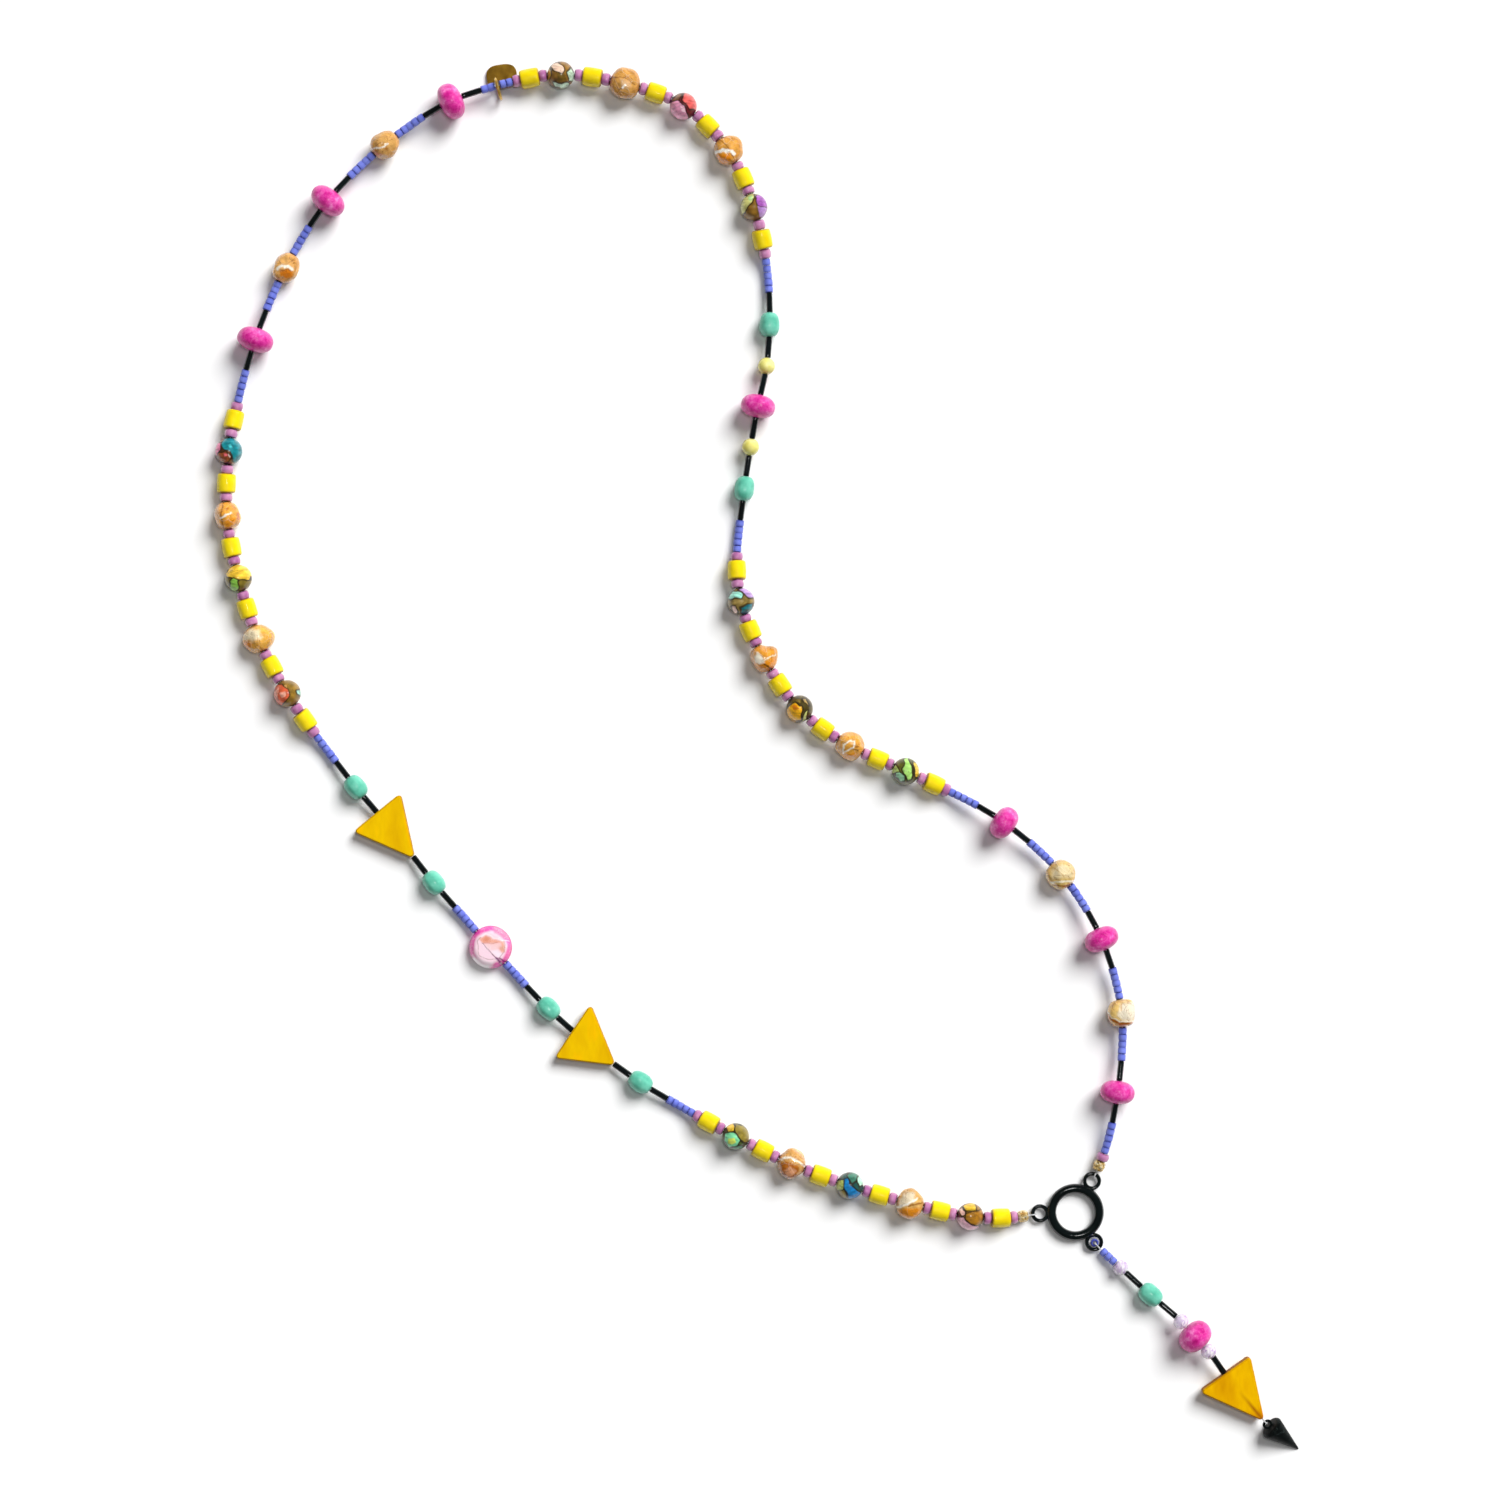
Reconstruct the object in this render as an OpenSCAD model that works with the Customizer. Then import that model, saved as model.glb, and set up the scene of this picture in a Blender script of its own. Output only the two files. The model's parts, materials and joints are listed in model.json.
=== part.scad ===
// A beaded rosary necklace laid flat: one long loop, a connector ring with three eyelets, and a drop
// that ends in a spike. The floor is the plane z = 0, and the origin is on it, under the middle.

/* [Thread] */
// Diameter of the stringing thread
thread_d = 0.36; // [0.3:0.02:0.4]
// Diameter of the hole drilled through each bead
bore_d = 1.1; // [1.04:0.02:1.2]
// Space between two beads on the thread
bead_gap = 0.2; // [0.15:0.01:0.25]
// Fall of the strand over each millimetre of it, away from the big beads that carry it
droop = 0.15; // [0.1:0.01:0.18]

/* [Small beads] */
// Diameter of a seed bead
seed_d = 2.1; // [1.9:0.05:2.1]
// Length of a seed bead along the thread
seed_len = 1.46; // [1.36:0.01:1.5]
// Diameter of a bugle bead
bugle_d = 1.6; // [1.5:0.05:1.7]
// Length of a bugle bead
bugle_len = 4.8; // [4.6:0.05:4.85]
// Diameter of a rocaille
rocaille_d = 3.2; // [2.8:0.1:3.4]
// Length of a rocaille along the thread
rocaille_len = 1.62; // [1.5:0.01:1.66]
// Diameter of a yellow barrel bead
yellow_d = 4.9; // [4.4:0.1:5.2]
// Length of a yellow barrel bead
yellow_len = 4.8; // [4.6:0.05:4.85]
// Diameter of the gold bead at each end of the loop
end_bead_d = 3.1; // [2.8:0.1:3.3]
// Length of the gold bead at each end of the loop
end_bead_len = 2.7; // [2.4:0.1:2.8]
// Diameter of a pale round bead
pale_d = 4.4; // [4:0.1:4.4]

/* [Stones] */
// Diameter of a round mosaic bead
mosaic_d = 6.9; // [6.5:0.05:6.95]
// Width across the flats of a turquoise barrel
barrel_d = 5.2; // [4.8:0.1:5.4]
// Length of a turquoise barrel
barrel_len = 6.2; // [6:0.05:6.25]
// Diameter of a crystal in the drop
crystal_d = 4.1; // [3.8:0.1:4.2]
// Length of a crystal in the drop
crystal_len = 3.4; // [3.2:0.05:3.45]
// Thickness of the triangular shell plates
plate_t = 3; // [2.6:0.1:3.2]
// Diameter of the shell disc
disc_d = 11; // [10.6:0.05:11]
// Thickness of the shell disc at its flat table
disc_t = 4; // [3.4:0.1:4.2]
// Diameter of the flat table of the disc
disc_table_d = 7; // [6:0.2:8]

/* [Connector ring] */
// Outer diameter of the ring
ring_d = 14.6; // [14:0.1:14.8]
// Thickness of the ring's round bar
ring_bar = 2.4; // [2.2:0.1:2.6]
// Outer diameter of an eyelet
eyelet_d = 4.74; // [4.6:0.02:4.8]
// Thickness of the eyelet's wire
eyelet_wire = 1; // [0.9:0.05:1]

/* [Tag and jump ring] */
// Width of the tag
tag_w = 7.8; // [7:0.1:8.2]
// Height of the tag
tag_h = 6.2; // [5.8:0.1:6.2]
// Thickness of the tag
tag_t = 0.5; // [0.4:0.05:0.5]
// Outer diameter of the jump ring
jump_d = 6.1; // [5.9:0.1:6.2]
// Thickness of the jump ring's wire
jump_wire = 0.7; // [0.6:0.05:0.7]

/* [Spike] */
// Diameter of the spike at its base
spike_d = 6.4; // [6:0.1:6.8]
// Length of the spike from base to tip
spike_len = 10.4; // [9.6:0.1:11]
// Thickness of the wire of the spike's eye
eye_wire = 0.7; // [0.6:0.05:0.7]

/* [Hidden] */
// The loop, from the left eyelet round to the top one. Each row is a stone with its place on the
// floor, and then the small beads that follow it on the thread.
// g gold end bead, m rocaille, y yellow barrel, k mosaic bead, a amber nugget, s seed bead, b bugle,
// t turquoise barrel, v shell triangle, d shell disc, p pink rondelle, c pale round, j jump ring,
// x crystal
LOOP = [
    // bead, x, y, small beads after it
    ["g", 68.4, -118, "mym"],
    ["k", 54.8, -118, "mym"],
    ["a", 39.4, -114.5, "mym"],
    ["k", 24, -110, "mym"],
    ["a", 9, -104.5, "mym"],
    ["k", -5.2, -97.4, "mymsssssb"],
    ["t", -29.6, -83.6, "b"],
    ["v", -41.9, -74.8, "b"],
    ["t", -53.2, -64.7, "bsssss"],
    ["d", -68, -49, "sssssb"],
    ["t", -82.5, -32.5, "b"],
    ["v", -92.5, -20, "b"],
    ["t", -102.5, -8, "bsssssmym"],
    ["k", -120, 16, "mym"],
    ["a", -127.5, 30, "mym"],
    ["k", -132.5, 45.5, "mym"],
    ["a", -135.5, 61.5, "mym"],
    ["k", -135, 78, "mymsssssb"],
    ["p", -128, 106.5, "bsssss"],
    ["a", -120.5, 125, "sssssb"],
    ["p", -109.5, 142, "bsssss"],
    ["a", -95, 156.5, "sssssb"],
    ["p", -78, 167.5, "bss"],
    ["j", -66.2, 171.6, "ssmym"],
    ["k", -50, 174.5, "mym"],
    ["a", -33.5, 172, "mym"],
    ["k", -18.5, 166.5, "mym"],
    ["a", -7, 155, "mym"],
    ["k", -0.5, 140.5, "mymsssssb"],
    ["t", 3.5, 110.5, "b"],
    ["c", 2.7, 99.8, "b"],
    ["p", 0.5, 89.5, "b"],
    ["c", -1.4, 79.1, "b"],
    ["t", -3, 68.5, "bsssssmym"],
    ["k", -4, 39.5, "mym"],
    ["a", 2, 25, "mym"],
    ["k", 11, 12, "mym"],
    ["a", 24, 2.5, "mym"],
    ["k", 38.3, -3.9, "mymsssssb"],
    ["p", 63.5, -17, "bsssss"],
    ["a", 78.2, -30.2, "sssssb"],
    ["p", 88.4, -46.8, "bsssss"],
    ["a", 93.6, -65.8, "sssssb"],
    ["p", 92.5, -86, "bsssssm"],
    ["g", 88, -105, ""],
];
// The drop, from the lower eyelet to the eye of the spike, in the same columns
DROP = [
    ["s", 89.1, -127.2, "ss"],
    ["x", 93.4, -131.1, "b"],
    ["t", 101, -138, "b"],
    ["x", 108.8, -144.7, ""],
    ["p", 112.3, -148.5, ""],
    ["x", 115.8, -152.3, "b"],
    ["v", 124.3, -164.3, ""],
];
// Sizes of the stones that differ, in the order in which they are strung
NUGGETS = [
    // length on the thread, width, height, turn of the lumps in degrees
    [6.9, 8.8, 7.6, 10],
    [7.1, 8.6, 7.8, 70],
    [7, 9.2, 7.4, 130],
    [7, 7.9, 7.6, 200],
    [7.6, 7.2, 7.4, 260],
    [7.3, 7.7, 7.6, 320],
    [7.6, 8.8, 7.8, 40],
    [7.2, 8.4, 7.8, 100],
    [7, 8.2, 7.6, 160],
    [7.1, 8.1, 7.8, 220],
    [7.2, 8.2, 7.6, 290],
    [7.1, 8.4, 7.6, 350],
];
RONDELLES = [
    // length on the thread, diameter
    [6, 9.2],
    [6, 9.2],
    [5.9, 9.2],
    [5.8, 8.6],
    [5.9, 8.5],
    [5.8, 8.7],
    [5.8, 8.7],
    [6.6, 8.7],
];
TRIANGLES = [
    // altitude on the thread, width of the base, slant of the base in degrees, side of the apex
    [13.5, 16.7, 4.8, -1],
    [14.6, 15.7, 0, -1],
    [15.2, 16, 4.4, 1],
];
// Lumps of a nugget: how deep its three-sided and its two-sided hollows are, as shares of its radius
LUMP_3 = 0.1;
LUMP_2 = 0.08;
// How full a nugget is across and along the thread: powers of the cosine and the sine
NUGGET_ACROSS = 0.75;
NUGGET_ALONG = 0.85;
// How boxy the turned beads are: the power of the profile, round at 1 and square near 0
END_BEAD_POWER = 0.75;
ROCAILLE_POWER = 0.7;
YELLOW_POWER = 0.42;
CRYSTAL_POWER = 0.7;
RONDELLE_POWER = 0.8;
BARREL_POWER = 0.6;
// Diameter of a barrel before its flats are cut, as a share of its width across them
BARREL_OVER = 1.07;
// The bevel of the shell disc: how far in from the rim, and height as a share of the thickness
DISC_BEVEL = [[0.7, 0.275], [0.15, 0.125]];
// Height of the thread where it passes through the jump ring, above the tag
JUMP_REST = 3.8;
// Room on the thread beside the jump ring's wire
JUMP_ROOM = 0.5;
// Height of the thread where it leaves the last plate for the eye of the spike
EYE_REST = 2.2;
// Middle of the connector ring and the directions of its eyelets: top, left, lower
RING_AT = [81.9, -117];
EYELET_DIRS = [62, 182, 302];
// How far an eyelet is let into the ring's bar
EYELET_IN = 0.6;
// Middle of the spike's base on the floor, and the direction in which it points
SPIKE_AT = [131.6, -171.6];
SPIKE_DIR = -39.5;
// Length of the bevels at the spike's base and at its tip, and radius before the tip
SPIKE_EDGE = 0.4;
SPIKE_TIP_R = 0.3;
// The spike's eye: how far its middle lies behind the base, and its radius at the wire's middle
EYE_ARM = 0.9;
EYE_R = 0.95;
// Offset of the jump ring from the thread, and of the tag's hole from the jump ring's middle
JUMP_SIDE = 0.8;
TAG_SIDE = 1.7;
// Radius of the tag's hole, and height of its middle
TAG_HOLE_R = 0.9;
TAG_HOLE_Z = 1;
// How the tag leans and turns, in degrees, and where its middle lies from its hole
TAG_SLOPE = 9;
TAG_TURN = -8;
TAG_MIDDLE = [1.7, 1.55];
// How boxy the tag's outline is: the power of its rounded sides
TAG_POWER = 0.7;
// Corner radius and edge chamfer of the shell plates
PLATE_CORNER = 0.8;
PLATE_CHAMFER = 0.35;
// Points on a smooth curve between two stones
STEPS = 8;
// Angles of the thread round a wire that it is looped on, starting on the side of the string
WRAP = [45, 90, 135, 180, 225, 270, 315];
// Clearance of the looped thread from that wire
WRAP_GAP = 0.06;
// How far the two ends of a string reach into its last bead, as shares of the bead
TIE_ABOVE = 0.6;
TIE_BELOW = 0.25;
// The seed bead that stands in the lower eyelet: its offset towards the drop, its length, and how
// far above and below its middle the thread turns
STAND_OFF = 0.2;
STAND_LEN = 1.1;
STAND_HALF = 0.95;
// Sides of the thread, of a seed tube and of a nugget
THREAD_SIDES = 6;
TUBE_SIDES = 8;
NUGGET_SIDES = 10;
NUGGET_RINGS = 7;

bore_r = bore_d / 2;
thread_r = thread_d / 2;
// Each of two threads that share a bore lies this far from its middle
twin = thread_r + 0.04;
eyelet_r = (eyelet_d - eyelet_wire) / 2;
eyelet_arm = ring_d / 2 + eyelet_d / 2 - EYELET_IN;
ring_z = ring_bar / 2;
jump_r = (jump_d - jump_wire) / 2;

function unit(v) = v / norm(v);
function total(v, n) = n <= 0 ? 0 : v[n - 1] + total(v, n - 1);
function flat(p) = [p[0], p[1]];
function lift(p, z) = [p[0], p[1], z];
function mix(a, b, t) = a * (1 - t) + b * t;
function eyelet_at(i) = RING_AT + eyelet_arm * [cos(EYELET_DIRS[i]), sin(EYELET_DIRS[i])];

// Profile of a turned bead in radius and height, from the bore out and back: the power makes it
// boxy below 1 and round at 1
function turned(r, len, power, steps) = [
    for (i = [0:steps])
        let (t = 180 * i / steps - 90)
        [bore_r + (r - bore_r) * pow(cos(t), power), len / 2 * sign(t) * pow(abs(sin(t)), power)]
];

// One ring of a nugget's surface: an oval ball with hollows that turn round it
function nugget_ring(i, t) =
    let (row = NUGGETS[i], len = row[0], turn = row[3])
    [for (k = [0:NUGGET_SIDES - 1])
        let (
            a = 360 * k / NUGGET_SIDES,
            hollow = LUMP_3 * (1 - cos(3 * a + turn)) / 2 + LUMP_2 * (1 - cos(2 * a + 2 * turn + t)) / 2,
            out = pow(cos(t), NUGGET_ACROSS) * (1 - hollow)
        )
        [
            cos(a) * (bore_r + (row[2] / 2 - bore_r) * out),
            sin(a) * (bore_r + (row[1] / 2 - bore_r) * out),
            len / 2 * sign(t) * pow(abs(sin(t)), NUGGET_ALONG)
        ]];
function nugget_rings(i) = [for (k = [0:NUGGET_RINGS]) nugget_ring(i, 180 * k / NUGGET_RINGS - 90)];
// Resting height of a nugget: how far its surface reaches below the thread
function nugget_rest(i) = max([for (ring = nugget_rings(i)) each [for (p = ring) p[0]]]);

// Letters of a chart in stringing order, and for each its number among the beads of its kind
function letters(chart) = [for (row = chart) each concat([row[0]], [for (c = row[3]) c])];
kinds = concat(letters(LOOP), letters(DROP));
numbers = [for (i = [0:len(kinds) - 1]) len([for (k = [0:1:i - 1]) if (kinds[k] == kinds[i]) 1])];
loop_n = len(letters(LOOP));
bead_n = len(kinds);

// Length along the thread and resting height of a bead, from its kind and its number
function ball_len(d) = sqrt(d * d - bore_d * bore_d);
function bead_len(kind, i) =
    kind == "s" ? seed_len :
    kind == "b" ? bugle_len :
    kind == "m" ? rocaille_len :
    kind == "y" ? yellow_len :
    kind == "g" ? end_bead_len :
    kind == "c" ? ball_len(pale_d) :
    kind == "k" ? ball_len(mosaic_d) :
    kind == "t" ? barrel_len :
    kind == "x" ? crystal_len :
    kind == "d" ? disc_d :
    kind == "j" ? jump_wire + JUMP_ROOM :
    kind == "a" ? NUGGETS[i][0] :
    kind == "p" ? RONDELLES[i][0] :
    TRIANGLES[i][0];
function bead_rest(kind, i) =
    kind == "s" ? seed_d / 2 :
    kind == "b" ? bugle_d / 2 :
    kind == "m" ? rocaille_d / 2 :
    kind == "y" ? yellow_d / 2 :
    kind == "g" ? end_bead_d / 2 :
    kind == "c" ? pale_d / 2 :
    kind == "k" ? mosaic_d / 2 :
    kind == "t" ? barrel_d / 2 :
    kind == "x" ? crystal_d / 2 :
    kind == "d" ? disc_t / 2 :
    kind == "j" ? JUMP_REST :
    kind == "a" ? nugget_rest(i) :
    kind == "p" ? RONDELLES[i][1] / 2 :
    plate_t / 2;
size = [for (i = [0:bead_n - 1]) bead_len(kinds[i], numbers[i]) + bead_gap];
rest = [for (i = [0:bead_n - 1]) bead_rest(kinds[i], numbers[i])];

// Smooth curve through places on the floor: it passes each in the mean direction of its neighbours
function stretch(a, b, ta, tb) = [
    for (k = [0:STEPS - 1])
        let (t = k / STEPS)
        mix(a, b, 3 * pow(t, 2) - 2 * pow(t, 3)) + ta * t * pow(1 - t, 2) - tb * pow(t, 2) * (1 - t)
];
function curve(p) =
    let (
        n = len(p) - 1,
        d = [for (i = [0:n - 1]) norm(p[i + 1] - p[i])],
        u = [for (i = [0:n - 1]) unit(p[i + 1] - p[i])],
        t = [for (i = [0:n]) i == 0 ? u[0] : i == n ? u[n - 1] : mix(u[i - 1], u[i], d[i - 1] / (d[i - 1] + d[i]))]
    )
    concat([for (i = [0:n - 1]) each stretch(p[i], p[i + 1], t[i] * d[i], t[i + 1] * d[i])], [p[n]]);
// Distance along a curve at each of its points
function along(p) = [
    for (i = 0, s = 0; i < len(p); s = s + (i < len(p) - 1 ? norm(p[i + 1] - p[i]) : 0), i = i + 1) s
];

// Heights along a strand that falls no faster than the droop lets it after each bead
function climb(own, fall) = [
    for (i = 0, z = own[0]; i < len(own); z = i < len(fall) ? max(own[i + 1], z - fall[i]) : z, i = i + 1) z
];
function reversed(v) = [for (i = [len(v) - 1:-1:0]) v[i]];

// Places on the curve of the joints between two stones a and b, which lie at from and to. The
// small beads between them share the room that is left, all with the same gap.
function shared(a, b, from, to, span) =
    let (
        small = [for (i = [a + 1:1:b - 1]) span[i]],
        room = to - from - (span[a] + span[b]) / 2,
        extra = (room - total(small, len(small))) / (len(small) + 1)
    )
    [for (q = [0:len(small)]) from + span[a] / 2 + extra * (q + 0.5) + total(small, q)];

// The joints between the beads of a chart, in space. A joint is no lower than the resting height
// of the beads on both its sides. The first bead of the chart is number base in the list of kinds.
function joints(chart, base, start, end, end_rest) =
    let (
        rows = len(chart),
        n = len(letters(chart)),
        heads = [for (r = 0, i = 0; r < rows; i = i + 1 + len(chart[r][3]), r = r + 1) i],
        own = [for (i = [0:n]) max(i > 0 ? rest[base + i - 1] : 0, i < n ? rest[base + i] : end_rest)],
        fall = [for (i = [0:n - 1]) droop * size[base + i]],
        ahead = climb(own, fall),
        behind = reversed(climb(reversed(own), reversed(fall))),
        z = [for (i = [0:n]) max(ahead[i], behind[i])],
        span = [for (i = [0:n - 1]) sqrt(pow(size[base + i], 2) - pow(z[i + 1] - z[i], 2))],
        path = curve(concat([start], [for (row = chart) [row[1], row[2]]], [end])),
        s = along(path),
        xs = [for (i = [0:len(path) - 1]) [s[i], path[i][0]]],
        ys = [for (i = [0:len(path) - 1]) [s[i], path[i][1]]],
        places = concat(
            [s[STEPS] - span[0] / 2],
            [for (r = [0:rows - 2])
                each shared(heads[r], heads[r + 1], s[(r + 1) * STEPS], s[(r + 2) * STEPS], span)],
            [s[rows * STEPS] + span[n - 1] / 2]
        )
    )
    [for (i = [0:n]) [lookup(places[i], xs), lookup(places[i], ys), z[i]]];

// How the spike lies: on its slanting side, with its eye in the air
spike_tilt = atan((spike_d / 2 - SPIKE_TIP_R) / (spike_len - 2 * SPIKE_EDGE));
spike_z = spike_d / 2 * cos(spike_tilt) + SPIKE_EDGE * sin(spike_tilt);
spike_way = [cos(spike_tilt) * cos(SPIKE_DIR), cos(spike_tilt) * sin(SPIKE_DIR), -sin(spike_tilt)];
eye_at = lift(SPIKE_AT, spike_z) - EYE_ARM * spike_way;

loop_joints = joints(LOOP, 0, eyelet_at(1), eyelet_at(0), 0);
drop_joints = joints(DROP, loop_n, eyelet_at(2), flat(eye_at), EYE_REST);
// The two ends of bead i, and the direction in which the string passes it on the floor
function bead_start(i) = i < loop_n ? loop_joints[i] : drop_joints[i - loop_n];
function bead_end(i) = i < loop_n ? loop_joints[i + 1] : drop_joints[i + 1 - loop_n];
function bead_way(i) = unit(flat(bead_end(i) - bead_start(i)));

// Rings of a swept surface. Each place on the path is a point and the level direction across it.
function sweep(path, r, sides) = [
    for (i = [0:len(path) - 1])
        let (
            way = unit(path[min(i + 1, len(path) - 1)][0] - path[max(i - 1, 0)][0]),
            across = path[i][1],
            up = cross(way, across)
        )
        [for (k = [0:sides - 1])
            let (a = 360 * (k + 0.5) / sides)
            path[i][0] + r * (cos(a) * across + sin(a) * up)]
];
// Triangles between the rings of a grid, in pairs, up to the last ring or back to the first
function grid_faces(rows, sides, closed) = [
    for (i = [0:closed ? rows - 1 : rows - 2], k = [0:sides - 1])
        let (
            a = i * sides,
            b = ((i + 1) % rows) * sides,
            next = (k + 1) % sides
        )
        each [[a + k, b + k, b + next], [a + k, b + next, a + next]]
];
function points_of(rings) = [for (ring = rings) each ring];
// Solid with closed ends, and solid whose last ring joins its first, as round a bore
module capped(rings) {
    n = len(rings[0]);
    last = (len(rings) - 1) * n;
    caps = [[for (k = [0:n - 1]) k], [for (k = [n - 1:-1:0]) last + k]];
    polyhedron(points_of(rings), concat(grid_faces(len(rings), n, false), caps));
}
module looped(rings) {
    polyhedron(points_of(rings), grid_faces(len(rings), len(rings[0]), true));
}

// The thread: it bends only at joints. In a run of seed beads it bends at the ends and the middle.
function level(d) = unit([-d[1], d[0], 0]);
function seeds_before(i, first) = i > first && kinds[i - 1] == "s" ? 1 + seeds_before(i - 1, first) : 0;
function seeds_after(i, last) = i < last && kinds[i] == "s" ? 1 + seeds_after(i + 1, last) : 0;
function bends(i, first, last) =
    let (before = seeds_before(i, first), after = seeds_after(i, last))
    before == 0 || after == 0 || abs(before - after) < 2;
function string_path(js, base, from, to) = [
    for (i = [from:to])
        if (bends(base + i, base, base + len(js) - 1))
            [js[i], level(js[min(i + 1, len(js) - 1)] - js[max(i - 1, 0)])]
];
// The end of a string: through the last bead above its middle, round a wire at w, and back below
function tie(p, q, turns) =
    let (high = [0, 0, twin])
    concat([mix(p, q, TIE_ABOVE) + high, p + high], turns, [p - high, mix(p, q, TIE_BELOW) - high]);
function towards(p, w) = lift(unit(flat(p - w)), 0);
function wrap(p, w, wire, angles) =
    let (u = towards(p, w), r = (wire / 2 + thread_r + WRAP_GAP) / cos((WRAP[1] - WRAP[0]) / 2))
    [for (a = angles) w + r * (cos(a) * u + [0, 0, sin(a)])];
function with_across(points, across) = [for (p = points) [p, across]];
function eyelet_wire_at(i, p) =
    let (c = lift(eyelet_at(i), ring_z))
    c + eyelet_r * towards(p, c);

module thread_solid(path) color("silver") capped(sweep(path, thread_r, THREAD_SIDES));
module thread() {
    js = loop_joints;
    n = loop_n;
    left = eyelet_wire_at(1, js[0]);
    top = eyelet_wire_at(0, js[n]);
    start = reversed(tie(js[0], js[1], wrap(js[0], left, eyelet_wire, WRAP)));
    end = tie(js[n], js[n - 1], wrap(js[n], top, eyelet_wire, WRAP));
    thread_solid(concat(
        with_across(start, level(towards(js[0], left))),
        string_path(js, 0, 1, n - 1),
        with_across(end, level(-towards(js[n], top)))
    ));
}
// In the lower eyelet the thread also passes the seed bead that stands in it
stand_at = lift(eyelet_at(2), ring_z) + STAND_OFF * towards(drop_joints[0], lift(eyelet_at(2), 0));
module drop_thread() {
    js = drop_joints;
    n = bead_n - loop_n;
    lower = eyelet_wire_at(2, js[0]);
    eye_wire_at = eye_at + EYE_R * unit(lift(unit(flat(js[n] - eye_at)), sin(spike_tilt)));
    turns = concat(
        wrap(js[0], lower, eyelet_wire, [WRAP[0], WRAP[1]]),
        [stand_at + [0, 0, STAND_HALF], stand_at - [0, 0, STAND_HALF]],
        wrap(js[0], lower, eyelet_wire, [-WRAP[1], -WRAP[0]])
    );
    start = reversed(tie(js[0], js[1], turns));
    end = tie(js[n], js[n - 1], wrap(js[n], eye_wire_at, eye_wire, WRAP));
    thread_solid(concat(
        with_across(start, level(towards(js[0], lower))),
        string_path(js, loop_n, 1, n - 1),
        with_across(end, level(-towards(js[n], eye_wire_at)))
    ));
}

// Runs of seed beads, as tubes round the thread
function shorten(path, by) =
    let (n = len(path) - 1, a = path[0][0], b = path[1][0], y = path[n - 1][0], z = path[n][0])
    [for (i = [0:n])
        [i == 0 ? a + by * unit(b - a) : i == n ? z + by * unit(y - z) : path[i][0], path[i][1]]];
module seed_run(js, base, from, to) {
    path = shorten(string_path(js, base, from, to), bead_gap / 2);
    looped(concat(sweep(path, seed_d / 2, TUBE_SIDES), reversed(sweep(path, bore_r, TUBE_SIDES))));
}
module seed_runs(js, base) {
    n = len(js) - 1;
    for (i = [0:n - 1])
        if (kinds[base + i] == "s" && seeds_before(base + i, base) == 0)
            seed_run(js, base, i, i + seeds_after(base + i, base + n));
}
module seed_strands() color("mediumslateblue") {
    seed_runs(loop_joints, 0);
    seed_runs(drop_joints, loop_n);
    translate(stand_at)
        difference() {
            cylinder(d = seed_d, h = STAND_LEN, center = true, $fn = 24);
            cylinder(r = bore_r, h = 2 * seed_len, center = true, $fn = 24);
        }
}

// Puts a bead in its place on the thread: its own Z follows the thread, its X points down
module on_thread(i) {
    way = bead_end(i) - bead_start(i);
    translate((bead_start(i) + bead_end(i)) / 2)
        rotate([0, acos(way[2] / norm(way)), atan2(way[1], way[0])])
            children();
}
module each_bead(kind) {
    for (i = [0:bead_n - 1])
        if (kinds[i] == kind)
            on_thread(i) children();
}
module one_bead(kind, number) {
    for (i = [0:bead_n - 1])
        if (kinds[i] == kind && numbers[i] == number)
            on_thread(i) children();
}
module bore(len) cylinder(r = bore_r, h = len, center = true, $fn = 24);
module turned_bead(d, len, power, steps) rotate_extrude($fn = 32) polygon(turned(d / 2, len, power, steps));
module ball_bead(d) {
    difference() {
        sphere(d = d, $fn = 48);
        bore(2 * d);
    }
}

module end_beads() color("gold") each_bead("g") turned_bead(end_bead_d, end_bead_len, END_BEAD_POWER, 8);
module rocailles() color("orchid") each_bead("m") turned_bead(rocaille_d, rocaille_len, ROCAILLE_POWER, 6);
module yellow_cylinders() color("yellow") each_bead("y") turned_bead(yellow_d, yellow_len, YELLOW_POWER, 10);
module pale_rounds() color("khaki") each_bead("c") ball_bead(pale_d);
module bugles() {
    color("black")
        each_bead("b")
            difference() {
                cylinder(d = bugle_d, h = bugle_len, center = true, $fn = 24);
                bore(2 * bugle_len);
            }
}
// Faceted all over, with a flat table round each end of its bore
module drop_crystals() {
    color("thistle")
        each_bead("x")
            rotate_extrude($fn = 10)
                polygon(turned(crystal_d / 2, crystal_len, CRYSTAL_POWER, 6));
}

MOSAIC_COLOURS = [
    "tan", "steelblue", "mediumseagreen", "indianred", "khaki", "teal",
    "olive", "lightcoral", "mediumorchid", "aquamarine", "goldenrod", "palegreen",
];
module mosaic_bead(i) color(MOSAIC_COLOURS[i]) one_bead("k", i) ball_bead(mosaic_d);
module amber_nugget(i) color("sandybrown") one_bead("a", i) looped(nugget_rings(i));
module pink_rondelle(i) {
    row = RONDELLES[i];
    color("hotpink") one_bead("p", i) turned_bead(row[1], row[0], RONDELLE_POWER, 12);
}
// Eight soft sides with rounded ends, one side down
module turquoise_barrel(i) {
    color("mediumaquamarine")
        one_bead("t", i)
            intersection() {
                turned_bead(BARREL_OVER * barrel_d, barrel_len, BARREL_POWER, 10);
                rotate([0, 0, 22.5])
                    cylinder(d = barrel_d / cos(22.5), h = 2 * barrel_len, center = true, $fn = 8);
            }
}

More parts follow.
